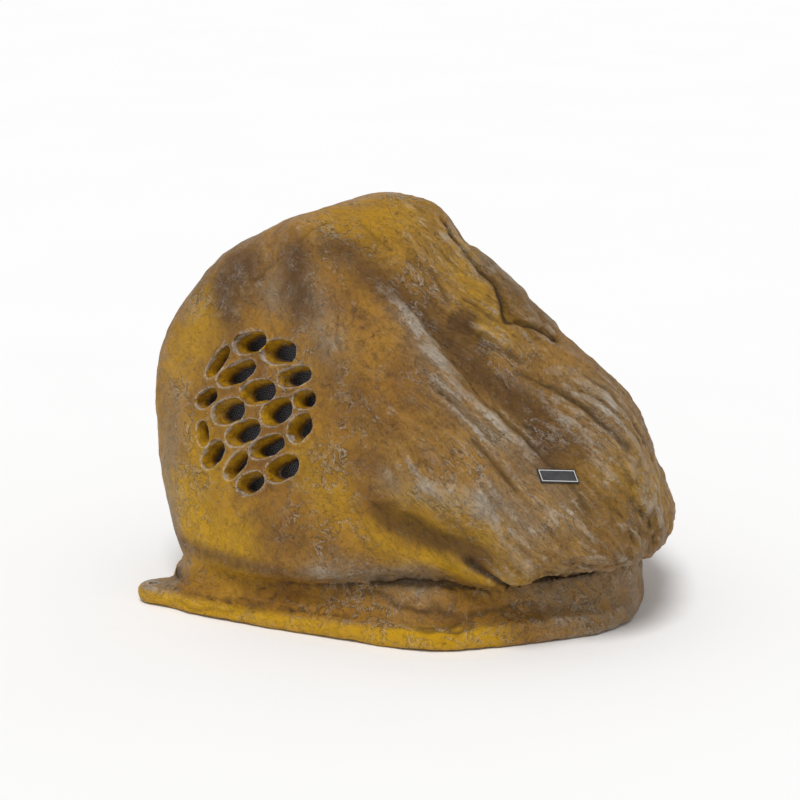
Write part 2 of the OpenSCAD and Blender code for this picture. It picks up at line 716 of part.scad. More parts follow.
// Cable gland: Z out of the plinth, the wall's outer face at Z = 0
washer_t = 1.5;
gland_hex_r = gland_r * 1.45;
module gland_washer() {
    color("#161616") placed() at_gland() tube(gland_r + GAP, gland_hex_r, 0, washer_t);
}
module gland_body() {
    color("#2c2c2e") placed() at_gland() difference() {
        union() {
            translate([0, 0, washer_t]) cylinder(r = gland_hex_r, h = 5, $fn = 6);
            translate([0, 0, -gland_wall - 8]) cylinder(r = gland_r, h = gland_wall + washer_t + 8.5, $fn = 48);
            translate([0, 0, washer_t + 5]) cylinder(r = gland_r, h = 7, $fn = 48);
        }
        translate([0, 0, -40]) cylinder(r = gland_bore_r, h = 80, $fn = 48);
        translate([0, 0, washer_t + 4]) cylinder(r = gland_r - 1.5, h = 20, $fn = 48);
    }
}
module gland_seal() {
    color("#121212") placed() at_gland() tube(gland_bore_r, gland_r - 1.5 - GAP, washer_t + 4, 9);
}
module gland_cap() {
    z = washer_t + 5 + GAP;
    color("#2c2c2e") placed() at_gland() difference() {
        union() {
            translate([0, 0, z]) cylinder(r = gland_hex_r, h = 6, $fn = 6);
            translate([0, 0, z + 6]) cylinder(r1 = gland_hex_r * 0.86, r2 = gland_bore_r + 2, h = 6, $fn = 48);
        }
        translate([0, 0, z - 1]) cylinder(r = gland_r + GAP, h = 8.5, $fn = 48);
        translate([0, 0, z]) cylinder(r = gland_r - 1.5, h = 8.6, $fn = 48);
        translate([0, 0, z]) cylinder(r = gland_bore_r, h = 20, $fn = 48);
    }
}
module gland_locknut() {
    color("#2c2c2e") placed() at_gland() translate([0, 0, -gland_wall - 5]) difference() {
        cylinder(r = gland_hex_r, h = 5, $fn = 6);
        translate([0, 0, -1]) cylinder(r = gland_r + 0.1, h = 7, $fn = 48);
    }
}

// Pair of leads from the transformer's winding to the driver's tags, by hand-chosen points
LEAD_R = 1.2;
function spot(k, pts) = pts[min(max(k, 0), len(pts) - 1)];
function smooth(pts, steps) = [
    for (i = [0 : len(pts) - 2], s = [0 : steps - 1])
        let (
            t = s / steps, a = spot(i - 1, pts), b = pts[i], c = pts[i + 1], d = spot(i + 2, pts)
        )
        0.5 * (2 * b + t * (c - a) + t * t * (2 * a - 5 * b + 4 * c - d) + t * t * t * (3 * b - a - 3 * c + d))
];
module lead(pts) {
    route = concat(smooth(pts, 4), [pts[len(pts) - 1]]);
    m = len(route);
    n = 8;
    rings = [
        for (k = [0 : m - 1])
            let (
                along = unit(route[min(k + 1, m - 1)] - route[max(k - 1, 0)]),
                side = unit(cross(along, [1, 0.2, 0])),
                up = cross(along, side)
            )
            [for (i = [0 : n - 1]) route[k] + LEAD_R * (cos(i * 45) * side + sin(i * 45) * up)]
    ];
    ring_stack(rings);
}
LEAD_ROUTE = [
    [45, 30, 46], [42, 22, 62], [20, 2, 100], [-12, -12, 150], [-38, -22, 198], [-46, -40, 218], [-47, -64.6, 209.5]
];
module driver_leads() {
    color("#a8322a") placed() lead(LEAD_ROUTE);
    color("#1c1c1c") placed() lead([for (p = LEAD_ROUTE) p + [-10, 0, 0]]);
}

rock_shell();
badge_plate();
speaker_mesh();
mesh_gasket();
driver_basket();
cone_surround();
speaker_cone();
whizzer_cone();
dust_cap();
spider();
voice_coil();
front_plate();
ring_magnet();
back_plate();
terminal_strip();
driver_screws();
base_plate();
base_gasket();
base_screws();
transformer_core();
transformer_winding();
transformer_bracket();
transformer_screws();
terminal_block();
terminal_clamps();
block_screws();
gland_body();
gland_cap();
gland_seal();
gland_washer();
gland_locknut();
driver_leads();
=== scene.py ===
import json
import logging
import math
from dataclasses import dataclass, field
from enum import Enum

import bmesh
import bpy
import numpy as np
from mathutils import Matrix, Vector, noise

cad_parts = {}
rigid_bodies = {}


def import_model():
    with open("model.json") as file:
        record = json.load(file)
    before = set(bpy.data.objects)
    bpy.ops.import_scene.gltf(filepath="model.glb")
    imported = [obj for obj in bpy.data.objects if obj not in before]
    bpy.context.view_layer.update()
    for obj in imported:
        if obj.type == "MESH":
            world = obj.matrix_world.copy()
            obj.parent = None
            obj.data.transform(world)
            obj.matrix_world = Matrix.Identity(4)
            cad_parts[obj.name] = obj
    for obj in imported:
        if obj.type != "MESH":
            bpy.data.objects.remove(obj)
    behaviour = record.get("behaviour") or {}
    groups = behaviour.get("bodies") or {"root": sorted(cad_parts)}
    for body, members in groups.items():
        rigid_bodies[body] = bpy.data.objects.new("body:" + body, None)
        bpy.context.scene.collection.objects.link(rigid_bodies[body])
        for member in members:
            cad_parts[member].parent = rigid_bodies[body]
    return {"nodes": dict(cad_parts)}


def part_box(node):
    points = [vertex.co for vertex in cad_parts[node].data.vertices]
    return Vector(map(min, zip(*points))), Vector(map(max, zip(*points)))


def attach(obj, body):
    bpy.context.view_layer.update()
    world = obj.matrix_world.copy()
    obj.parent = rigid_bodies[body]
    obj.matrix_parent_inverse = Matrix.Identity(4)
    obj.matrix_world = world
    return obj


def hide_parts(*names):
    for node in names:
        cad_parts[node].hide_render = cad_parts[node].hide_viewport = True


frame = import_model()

LOG = logging.getLogger("garden_speaker")
MM = 0.001
BODY = "root"
NOISE_SEED = 11
FAR = 1e3

Rgb = tuple[float, float, float]
Route = tuple[tuple[float, float], ...]
Rows = np.ndarray
Mesh = bpy.types.Mesh
Object = bpy.types.Object
Material = bpy.types.Material
Socket = bpy.types.NodeSocket
Settings = dict[str, object]


def linear(rgb: Rgb) -> tuple[float, float, float, float]:
    """Turns an sRGB colour of 0 to 255 into the linear colour, with its alpha, that a shader takes."""
    parts = [c / 255 for c in rgb]
    red, green, blue = [p / 12.92 if p <= 0.04045 else ((p + 0.055) / 1.055) ** 2.4 for p in parts]
    return red, green, blue, 1.0


def heading(azimuth: Rows, elevation: Rows) -> Rows:
    """Unit vectors for azimuths from +X towards +Y and elevations above the level, in degrees."""
    az, el = np.radians(azimuth), np.radians(elevation)
    return np.stack([np.cos(az) * np.cos(el), np.sin(az) * np.cos(el), np.sin(el)], axis=-1)


def bell(values: Rows, middle: float, width: float, power: int = 2) -> Rows:
    """One at the middle and falling to nothing beyond the width, the more sharply the higher the power."""
    return np.exp(-((values - middle) / width) ** power)


def azimuths(points: Rows) -> Rows:
    """Azimuth of each point about the middle line, in degrees."""
    return np.degrees(np.arctan2(points[:, 1], points[:, 0]))


def turn_from(azimuth: Rows, middle: float) -> Rows:
    """How far each azimuth is turned from a middle one, from -180 to 180."""
    return (azimuth - middle + 180) % 360 - 180


def turns(count: int) -> Rows:
    """Azimuths of so many even steps once round."""
    return np.arange(count) * 360 / count


def unit_rows(rows: Rows) -> Rows:
    """The rows scaled to a length of one."""
    return rows / np.maximum(np.linalg.norm(rows, axis=-1, keepdims=True), 1e-9)


def route_gap(directions: Rows, route: Route) -> Rows:
    """Least distance on the unit ball from each direction to a route of directions.

    Args:
        directions: Unit vectors, one a row.
        route: Azimuth and elevation of the route's corners in degrees.

    Returns:
        The distance of each direction, in radians for small gaps.
    """
    corners = heading(np.array([p[0] for p in route]), np.array([p[1] for p in route]))
    if len(corners) == 1:
        return np.linalg.norm(directions - corners[0], axis=1)
    gaps = []
    for a, b in zip(corners[:-1], corners[1:]):
        ab = b - a
        t = np.clip((directions - a) @ ab / (ab @ ab), 0, 1)
        gaps.append(np.linalg.norm(directions - unit_rows(a + t[:, None] * ab), axis=1))
    return np.min(gaps, axis=0)


@dataclass(frozen=True)
class Mark:
    """A form drawn on the stone along a route: a crack, fold, ridge or patch of paint."""

    route: Route
    width: float
    amount: float

    def share(self, directions: Rows) -> Rows:
        """How strongly the mark is felt in each direction, from 0 to 1."""
        return bell(route_gap(directions, self.route), 0, math.radians(self.width))


def marks(*rows: tuple[float, ...]) -> tuple[Mark, ...]:
    """Marks from rows of width, amount, and the azimuth and elevation of each corner."""
    return tuple(Mark(tuple(zip(row[2::2], row[3::2])), row[0], row[1]) for row in rows)


@dataclass(frozen=True)
class StoneForm:
    """The form of the rock, its plinth and its lip, in millimetres about the rock's own middle line."""

    neck_z: float = 58
    core_up: float = 85
    sharpness: float = 12
    face_el: float = 12
    face_d: float = 134
    grille_x: float = -52
    grille_y: float = 7
    lip_t: float = 16
    lip_rise: float = 8
    lip_fade: float = 4
    ear_proud: float = 0.5
    ledge_w: float = 22
    ledge_az: float = -60
    ledge_span: float = 62
    lip_thick_az: float = -30
    outline_sharpness: float = 14
    faces: tuple[tuple[float, float, float], ...] = (
        (-90, 12, 134), (-35, 36, 144), (-60, -5, 165), (-5, 8, 222), (-55, -32, 174),
        (38, 28, 182), (44, 56, 207), (54, 46, 154), (36, 4, 240), (30, -28, 262),
        (90, 15, 178), (110, 80, 220), (130, 10, 165), (150, 45, 192), (165, 8, 198),
        (185, 72, 206), (208, 50, 220), (214, 20, 240), (218, -6, 216), (224, -24, 226),
        (0, -84, 99),
    )
    ridges: tuple[Mark, ...] = marks(
        (9, 8, -103, 57, -76, 39, -46, 13, -34, -13, -24, -28), (9, -9, -73, 74, -36, 54, -22, 30, -12, 2),
        (9, 6, 2, 78, 4, 54, 4, 26, 4, 0), (6, -9, 20, 70, 30, 40), (16, 15, 40, 13, 10, 10),
        (13, -12, 46, 40, 40, 27), (12, 12, 35, -21, 5, -23), (13, 9, 20, 80, 20, 86),
        (8, 9, -22, -24, -16, -34), (12, -13, -66, -16, -48, -20), (12, 7, 150, 60, 120, 20, 110, -10),
        (11, -8, 90, 50, 75, 10), (12, -6, 200, 30, 185, 0),
    )
    plinth_sides: tuple[tuple[float, float], ...] = (
        (-76, 123), (-34, 151), (15, 208), (50, 208), (128, 165), (175, 178), (220, 190),
    )
    plinth_skin: tuple[tuple[float, float], ...] = (
        (-76, 124), (-34, 152), (15, 212), (46, 211), (128, 165), (175, 178), (220, 186),
    )
    lip_sides: tuple[tuple[float, float], ...] = (
        (-76, 135), (-34, 161), (15, 214), (46, 213), (128, 176), (175, 190), (220, 198),
    )

    @property
    def core_z(self) -> float:
        """Height of the rock's middle."""
        return self.neck_z + self.core_up

    def radius(self, directions: Rows, inset: float = 0) -> Rows:
        """Distance of the stone's surface from its middle.

        Args:
            directions: Unit vectors, one a row.
            inset: Millimetres taken off every face, for the inner wall.

        Returns:
            The distance in each direction.
        """
        sums = np.zeros(len(directions))
        for az, el, reach in self.faces:
            along = np.maximum(directions @ heading(np.array(az), np.array(el)), 0)
            sums += (along / (reach - inset)) ** self.sharpness
        radius = sums ** (-1 / self.sharpness)
        for ridge in self.ridges:
            radius += ridge.amount * ridge.share(directions)
        return radius

    def outline(self, azimuth: Rows, sides: tuple[tuple[float, float], ...]) -> Rows:
        """Distance of a rounded outline from the middle line at each azimuth."""
        sums = sum(
            (np.maximum(np.cos(np.radians(azimuth - az)), 0) / reach) ** self.outline_sharpness
            for az, reach in sides
        )
        return sums ** (-1 / self.outline_sharpness)

    def ledge_share(self, azimuth: Rows) -> Rows:
        """How wide the ledge is at each azimuth, from 0 to 1."""
        return bell(turn_from(azimuth, self.ledge_az), 0, self.ledge_span, 4)

    def lip_top(self, azimuth: Rows) -> Rows:
        """Height of the lip's top at each azimuth."""
        near = (1 + np.cos(np.radians(azimuth - self.lip_thick_az))) / 2
        return self.lip_t - self.ear_proud + self.lip_rise * near ** self.lip_fade


@dataclass
class Shape:
    """Points and faces of a mesh while it is put together, in millimetres."""

    points: Rows = field(default_factory=lambda: np.zeros((0, 3)))
    faces: list[tuple[int, ...]] = field(default_factory=list)

    def add(self, other: "Shape") -> "Shape":
        """This shape with the points and faces of another put behind its own."""
        start = len(self.points)
        faces = self.faces + [tuple(i + start for i in face) for face in other.faces]
        return Shape(np.vstack([self.points, other.points]), faces)

    def moved(self, matrix: Matrix) -> "Shape":
        """This shape carried through a 4 by 4 matrix."""
        rows = np.array(matrix)
        return Shape(self.points @ rows[:3, :3].T + rows[:3, 3], self.faces)


def ring_stack(rings: list[Rows]) -> Shape:
    """A closed tube through rings with the same number of points, listed from the bottom up.

    Args:
        rings: Points of each ring, anticlockwise seen from above.

    Returns:
        The tube with a flat face at each end.
    """
    n, m = len(rings[0]), len(rings)
    step = np.arange(n)
    after = (step + 1) % n
    faces: list[tuple[int, ...]] = [tuple(step[::-1].tolist())]
    for j in range(m - 1):
        low, high = j * n, (j + 1) * n
        faces += [(low + a, low + b, high + b, high + a) for a, b in zip(step.tolist(), after.tolist())]
    faces.append(tuple(((m - 1) * n + step).tolist()))
    return Shape(np.vstack(rings), faces)


def object_from(name: str, shape: Shape, origin: Vector) -> Object:
    """Makes a linked object in metres from a shape in millimetres that stands at the origin given."""
    mesh = bpy.data.meshes.new(name)
    mesh.from_pydata(((shape.points + np.array(origin)) * MM).tolist(), [], shape.faces)
    mesh.update()
    obj = bpy.data.objects.new(name, mesh)
    bpy.context.scene.collection.objects.link(obj)
    return obj


def bake_modifiers(obj: Object) -> None:
    """Turns what the object's modifiers show into its own mesh and clears them."""
    evaluated = obj.evaluated_get(bpy.context.evaluated_depsgraph_get())
    mesh = bpy.data.meshes.new_from_object(evaluated)
    old = obj.data
    obj.modifiers.clear()
    obj.data = mesh
    bpy.data.meshes.remove(old)


def drop(obj: Object) -> None:
    """Removes a helper object and its mesh."""
    mesh = obj.data
    bpy.data.objects.remove(obj)
    bpy.data.meshes.remove(mesh)


def combine(obj: Object, tool: Object, operation: str = "DIFFERENCE") -> None:
    """Cuts a helper object out of obj, or joins it on, and removes the helper."""
    modifier = obj.modifiers.new("combine", "BOOLEAN")
    modifier.operation = operation
    modifier.solver = "MANIFOLD"
    modifier.object = tool
    bake_modifiers(obj)
    drop(tool)


def read_rows(mesh: Mesh, name: str = "co") -> Rows:
    """The mesh's points, or their normals, one a row."""
    rows = np.empty(len(mesh.vertices) * 3)
    mesh.vertices.foreach_get(name, rows)
    return rows.reshape(-1, 3)


def write_points(mesh: Mesh, points: Rows) -> None:
    """Sets the mesh's points."""
    mesh.vertices.foreach_set("co", points.ravel())
    mesh.update()


def store(mesh: Mesh, name: str, values: Rows) -> None:
    """Adds a named attribute of numbers, vectors or colours to the mesh's points."""
    kinds = {1: ("FLOAT", "value"), 3: ("FLOAT_VECTOR", "vector"), 4: ("FLOAT_COLOR", "color")}
    kind, key = kinds[values.size // len(values)]
    layer = mesh.attributes.new(name, kind, "POINT")
    layer.data.foreach_set(key, np.ascontiguousarray(values, dtype=np.float32).ravel())


def softened(mesh: Mesh, points: Rows, rounds: int, share: float = 0.5) -> Rows:
    """Points drawn towards the middle of their neighbours again and again.

    Args:
        mesh: Mesh whose edges say which points are neighbours.
        points: Points to soften, one a row.
        rounds: How often to do it.
        share: How far a point goes each time, from 0 to 1.

    Returns:
        The softened points.
    """
    ends = np.empty(len(mesh.edges) * 2, dtype=np.int64)
    mesh.edges.foreach_get("vertices", ends)
    a, b = ends[0::2], ends[1::2]
    count = np.maximum(np.bincount(np.concatenate([a, b]), minlength=len(points)), 1)[:, None]
    for _ in range(rounds):
        total = np.zeros_like(points)
        for axis in range(3):
            total[:, axis] = np.bincount(a, points[b, axis], len(points)) + np.bincount(
                b, points[a, axis], len(points)
            )
        points = points + share * (total / count - points)
    return points


def fractal(points: Rows, size: float, octaves: int = 4, offset: float = 0) -> Rows:
    """Smooth noise of about -1 to 1 at each point.

    Args:
        points: Points in millimetres, one a row.
        size: Width of the largest lumps in millimetres.
        octaves: Number of finer layers.
        offset: Shift that makes one noise differ from another.

    Returns:
        The noise at each point.
    """
    rows = (points / size + offset).tolist()
    return np.array([noise.fractal(Vector(row), 0.9, 2.0, octaves) for row in rows])


def sway(points: Rows, size: float) -> Rows:
    """Smooth noise vectors of about one unit, one for each point."""
    return np.array([noise.noise_vector(Vector(row)) for row in (points / size).tolist()])


class Pattern(Enum):
    """What the surface of a plain finish shows when looked at closely."""

    GRAIN = "grain"
    BRUSHED = "brushed"
    WEAVE = "weave"
    WOUND = "wound"
    STACKED = "stacked"


@dataclass(frozen=True)
class Value:
    """What a node's output gives, put together with others by the signs of arithmetic."""

    bench: "Bench"
    socket: Socket

    def __add__(self, other: object) -> "Value":
        """Both added."""
        return self.bench.math("ADD", self, other)

    def __sub__(self, other: object) -> "Value":
        """This without the other."""
        return self.bench.math("SUBTRACT", self, other)

    def __mul__(self, other: object) -> "Value":
        """Both multiplied."""
        return self.bench.math("MULTIPLY", self, other)

    def __or__(self, other: object) -> "Value":
        """The larger of both."""
        return self.bench.math("MAXIMUM", self, other)


class Bench:
    """Puts nodes together in one tree."""

    def __init__(self, tree: bpy.types.NodeTree) -> None:
        """Takes the tree that the nodes go into."""
        self.tree = tree

    def node(self, kind: str, settings: Settings | None = None, **inputs: object) -> bpy.types.Node:
        """A node with its settings, and its inputs set or linked by name or, as in0, by number."""
        made = self.tree.nodes.new(kind)
        for key, value in (settings or {}).items():
            setattr(made, key, value)
        for key, value in inputs.items():
            self.feed(made.inputs[int(key[2:]) if key.startswith("in") else key.replace("_", " ")], value)
        return made

    def value(self, kind: str, output: str | int = 0, settings: Settings | None = None,
              **inputs: object) -> Value:
        """What one output of a new node gives."""
        return Value(self, self.node(kind, settings, **inputs).outputs[output])

    def feed(self, socket: Socket, value: object) -> None:
        """Sets a socket, or links it where the value comes from a node."""
        if isinstance(value, Value):
            value = value.socket
        if isinstance(value, Socket):
            self.tree.links.new(value, socket)
        else:
            socket.default_value = value

    def math(self, operation: str, a: object, b: object = 0.0) -> Value:
        """Two numbers put together by a math operation."""
        return self.value("ShaderNodeMath", 0, {"operation": operation}, in0=a, in1=b)


class NodeBench(Bench):
    """Puts the shader nodes of one new material together."""

    def __init__(self, name: str) -> None:
        """Starts the material with a shader and an output."""
        self.material = bpy.data.materials.new(name)
        self.material.use_nodes = True
        super().__init__(self.material.node_tree)
        self.tree.nodes.clear()
        self.shader = self.node("ShaderNodeBsdfPrincipled")
        self.node("ShaderNodeOutputMaterial", Surface=self.shader.outputs[0])
        self.place = self.value("ShaderNodeTexCoord", "Object")

    def attribute(self, name: str, output: str = "Fac") -> Value:
        """The mesh attribute of that name."""
        return self.value("ShaderNodeAttribute", output, {"attribute_name": name})

    def noise(self, scale: float, detail: float = 4, roughness: float = 0.55, source: Value | None = None,
              distortion: float = 0) -> Value:
        """Noise of 0 to 1 with that many lumps a metre."""
        return self.value("ShaderNodeTexNoise", "Fac", Vector=source or self.place, Scale=scale,
                          Detail=detail, Roughness=roughness, Distortion=distortion)

    def wave(self, scale: float, axis: str, **inputs: float) -> Value:
        """Bands that follow each other along an axis."""
        return self.value("ShaderNodeTexWave", "Fac", {"bands_direction": axis}, Vector=self.place,
                          Scale=scale, **inputs)

    def spread(self, value: Value, low: float, high: float, start: float = 0, end: float = 1) -> Value:
        """A smooth step of the value between low and high."""
        return self.value("ShaderNodeMapRange", "Result", {"interpolation_type": "SMOOTHSTEP"},
                          in0=value, in1=low, in2=high, in3=start, in4=end)

    def paint(self, share: Value, below: Value | Rgb, colour: Rgb) -> Value:
        """A colour laid by share over what is below."""
        below = linear(below) if isinstance(below, tuple) else below
        return self.value("ShaderNodeMix", 2, {"data_type": "RGBA"}, in0=share, in6=below,
                          in7=linear(colour))

    def bump(self, height: Value, depth: float, strength: float = 1, below: Value | None = None) -> Value:
        """Raises the surface by the height, of which one is depth metres."""
        more = {} if below is None else {"Normal": below}
        return self.value("ShaderNodeBump", "Normal", Height=height, Distance=depth,
                          Strength=strength, **more)

    def finished(self, **inputs: object) -> Material:
        """Feeds the shader and hands over the material."""
        for name, value in inputs.items():
            self.feed(self.shader.inputs[name.replace("_", " ")], value)
        return self.material


@dataclass(frozen=True)
class Finish:
    """A plain moulded, rolled, woven or painted finish with its own small-scale detail."""

    name: str
    colour: Rgb
    second: Rgb
    pattern: Pattern = Pattern.GRAIN
    roughness: float = 0.5
    metallic: float = 0
    grain: float = 900
    depth: float = 0.00008
    trim: Rgb | None = None
    dust: float = 150

    def material(self) -> Material:
        """Builds the material.

        Returns:
            A procedural material on Object coordinates.
        """
        bench = NodeBench(self.name)
        wear = bench.spread(bench.noise(70, 6, 0.7), 0.4, 0.7)
        height, tone = self.relief(bench)
        dusty = tuple(0.75 * c + 0.25 * self.dust for c in self.second)
        colour = bench.paint(wear * 0.3, bench.paint(tone, self.colour, self.second), dusty)
        if self.trim is not None:
            colour = bench.paint(bench.attribute("trim"), colour, self.trim)
        rough = bench.spread(wear, 0, 1, self.roughness * 0.85, min(self.roughness * 1.2, 1))
        return bench.finished(Base_Color=colour, Roughness=rough, Metallic=self.metallic,
                              Normal=bench.bump(height, self.depth))

    def relief(self, bench: NodeBench) -> tuple[Value, Value]:
        """The finish's small relief and the tone that follows it.

        Args:
            bench: Bench of the material that is being built.

        Returns:
            Height of 0 to 1, and the share of the second colour.
        """
        if self.pattern is Pattern.BRUSHED:
            drawn = bench.value("ShaderNodeMapping", "Vector", Vector=bench.place, Scale=(1, 0.03, 1))
            lines = bench.noise(self.grain, 3, source=drawn)
            return lines, bench.spread(lines, 0.35, 0.7)
        if self.pattern in (Pattern.WOUND, Pattern.STACKED):
            axis = "Z" if self.pattern is Pattern.WOUND else "Y"
            bands = bench.wave(self.grain / 6, axis, Distortion=0.3, Detail=1.0)
            return bands, bench.spread(bands, 0.2, 0.9)
        if self.pattern is Pattern.WEAVE:
            warp, weft = (bench.wave(self.grain / 6, axis, Distortion=0.4) for axis in "XZ")
            cross = warp * weft
            return cross, bench.spread(cross, 0.1, 0.7)
        fine = bench.noise(self.grain, 3)
        return fine, bench.spread(fine, 0.4, 0.65)


@dataclass(frozen=True)
class PaintedStone:
    """Hand-washed ochre paint on moulded stone: brown washes, gold edges and a pale dry brush, with painted
    shade in its hollows, cracks, neck crease and cells and a painted highlight on its ledge.
    """

    name: str = "painted_stone"
    ochre: Rgb = (166, 118, 34)
    deep_ochre: Rgb = (132, 88, 24)
    tan: Rgb = (168, 132, 72)
    gold: Rgb = (208, 158, 4)
    brown: Rgb = (92, 62, 27)
    umber: Rgb = (40, 28, 15)
    taupe: Rgb = (144, 125, 101)
    pale: Rgb = (208, 201, 188)
    roughness: float = 0.46
    sheen: float = 0.24

    def material(self) -> Material:
        """Builds the material from the marks that the stone's mesh carries.

        Returns:
            A procedural material on Object coordinates and the piece's own attributes.
        """
        bench = NodeBench(self.name)
        paint = bench.node("ShaderNodeSeparateColor", Color=bench.attribute("paint", "Color"))
        wash_and_shade, gold, grey = (Value(bench, paint.outputs[k]) for k in range(3))
        flow = bench.attribute("strata", "Vector")
        proud, broad, carved = (bench.attribute(name) for name in ("proud", "broad", "carved"))
        mottle, speckle = bench.noise(90, 6, 0.65), bench.noise(480, 4, 0.7)
        pits = bench.noise(210, 6, 0.75, distortion=0.6)
        streaks = bench.noise(1.1, 5, 0.65, flow, 0.3)
        scratches = bench.noise(5.5, 4, 0.75, flow, 0.5)
        plain = bench.math("SUBTRACT", 1.0, carved)
        veins = plain * bench.noise(74, 7, 0.68, distortion=0.6)
        vein = veins + carved * bench.noise(2.6, 7, 0.66, flow, 0.7)

        patches = bench.spread(bench.noise(17, 5, 0.6, distortion=0.8), 0.35, 0.62)
        colour: Value | Rgb = self.deep_ochre
        for share, coat in (
            (patches, self.ochre),
            (carved * 0.55, self.tan),
            (bench.spread(mottle, 0.5, 0.34, 0, 0.5), self.brown),
            (gold * bench.spread(mottle, 0.2, 0.6, 0.6, 1), self.gold),
            # Taupe from the grey channel, which also holds the painted highlight on the ledge.
            (grey * bench.spread(streaks, 0.3, 0.6, 0.35, 1), self.taupe),
            # Brown from the wash channel: real washes, and painted shade in the neck crease and deep in the
            # cells.
            (bench.spread(wash_and_shade + (mottle - 0.5) * 0.7, 0.05, 1.0), self.brown),
            (bench.spread(streaks, 0.42, 0.66, 0, 0.4) * carved, self.brown),
            # Brown where the relief lies low: a wash in the hollows that also paints the shade falling
            # there.
            (bench.spread(broad, -0.4, -4.2, 0, 0.65), self.brown),
        ):
            colour = bench.paint(share, colour, coat)
        broken = bench.spread(bench.noise(19, 4, 0.65), 0.47, 0.66, 0.04, 0.9)
        lined = bench.spread(scratches, 0.46, 0.3) * bench.spread(carved, 0, 1, 0.12, 0.75)
        # Umber: painted shade in fine hollows and cracks, mixed with real dark scratches, pits and veins.
        dark = bench.spread(proud, -0.1, -1.0, 0, 0.75) | lined | bench.spread(pits, 0.44, 0.3, 0, 0.7)
        dark = dark | broken * self.line(vein, 0.512, 0.85) | bench.attribute("crack")
        edge = broken * self.line(vein, 0.48, 0.6)
        brushed = self.dry_brush((proud, broad, grey, gold), (scratches, speckle))
        colour = bench.paint(edge | brushed, bench.paint(dark, colour, self.umber), self.pale)

        normal = None
        for height, depth, strength in (
            (streaks, 0.003, 0.5), (scratches, 0.0016, 0.8), (mottle, 0.0034, 0.6), (pits, 0.0016, 0.8),
            (bench.spread(vein, 0.478, 0.516, 1, 0), 0.0006, 0.8), (speckle, 0.0007, 0.7),
        ):
            normal = bench.bump(height, depth, strength, normal)
        rough = bench.spread(mottle, 0.3, 0.7, self.roughness - 0.1, self.roughness + 0.16)
        return bench.finished(Base_Color=colour, Roughness=rough, Specular_IOR_Level=self.sheen,
                              Normal=normal)

    @staticmethod
    def line(value: Value, level: float, share: float, width: float = 0.02) -> Value:
        """A thin line where the value crosses a level."""
        away = value.bench.math("ABSOLUTE", value - level)
        return value.bench.spread(away, 0, width, share, 0)

    @staticmethod
    def dry_brush(marks: tuple[Value, ...], textures: tuple[Value, ...]) -> Value:
        """Where the pale brush has caught the stone's raised grain.

        Args:
            marks: Fine and broad height, grey paint and gold paint.
            textures: Scratches and speckle.

        Returns:
            Share of the pale colour.
        """
        proud, broad, grey, gold = marks
        scratches, speckle = textures
        bench = proud.bench
        caught = proud * 0.4 + broad * 0.035 + (scratches + speckle) * 0.5
        where = bench.spread(bench.noise(30, 4, 0.7), 0.45, 0.7, 0.06, 0.42) + grey * 0.4
        where = where * bench.spread(gold, 0.2, 0.9, 1, 0.4)
        rim = bench.spread(bench.attribute("rim") + speckle * 0.9, 0.94, 1.32, 0, 0.7)
        return bench.spread(caught, 0.55, 0.78) * where | rim


FINISHES: dict[str, Finish] = {made.name: made for made in (
    Finish("badge_black", (24, 24, 26), (38, 38, 41), roughness=0.32, trim=(212, 212, 208)),
    Finish("guard_black", (38, 38, 42), (74, 74, 80), roughness=0.42, metallic=0.3),
    Finish("rubber_black", (22, 22, 22), (36, 35, 34), roughness=0.75, grain=1300),
    Finish("basket_black", (30, 31, 33), (48, 49, 52), roughness=0.45, metallic=0.4),
    Finish("cone_paper", (38, 38, 40), (62, 60, 58), roughness=0.85, grain=600, depth=0.0002),
    Finish("spider_cloth", (176, 132, 70), (140, 100, 50), Pattern.WEAVE, 0.85, grain=2400),
    Finish("copper_winding", (184, 104, 58), (132, 66, 34), Pattern.WOUND, 0.3, 0.9, 3000),
    Finish("plate_steel", (164, 168, 172), (128, 131, 135), Pattern.BRUSHED, 0.32, 0.95),
    Finish("ferrite", (58, 59, 62), (40, 41, 43), roughness=0.6, grain=1500),
    Finish("tag_board", (138, 106, 58), (108, 80, 42), Pattern.WEAVE, 0.6, grain=2600),
    Finish("screw_steel", (186, 189, 193), (150, 153, 158), Pattern.BRUSHED, 0.28, 0.95),
    Finish("base_panel", (58, 60, 63), (44, 46, 48), roughness=0.6, grain=700, depth=0.00015),
    Finish("core_steel", (98, 100, 104), (62, 64, 67), Pattern.STACKED, 0.4, 0.85, 6000),
    Finish("winding_tape", (204, 166, 78), (174, 134, 56), Pattern.WOUND, 0.35, grain=1800),
    Finish("block_plastic", (38, 38, 39), (56, 55, 54), roughness=0.5),
    Finish("clamp_brass", (200, 168, 90), (160, 128, 60), Pattern.BRUSHED, 0.3, 0.9),
    Finish("gland_plastic", (42, 42, 44), (60, 60, 62), roughness=0.48),
    Finish("lead_sleeve", (156, 46, 38), (124, 34, 28), roughness=0.45, grain=1200),
)}


@dataclass
class FacePlace:
    """The tilted face that holds the cells: local Z looks out of the rock and Y up the face."""

    form: StoneForm

    def matrix(self) -> Matrix:
        """From the face's own millimetres to those about the rock's middle line."""
        form = self.form
        return (
            Matrix.Translation((0, 0, form.core_z))
            @ Matrix.Rotation(math.radians(90 - form.face_el), 4, "X")
            @ Matrix.Translation((form.grille_x, form.grille_y, form.face_d))
        )

    def local(self, points: Rows) -> Rows:
        """Points about the rock's middle line, seen from the face."""
        rows = np.array(self.matrix().inverted())
        return points @ rows[:3, :3].T + rows[:3, 3]


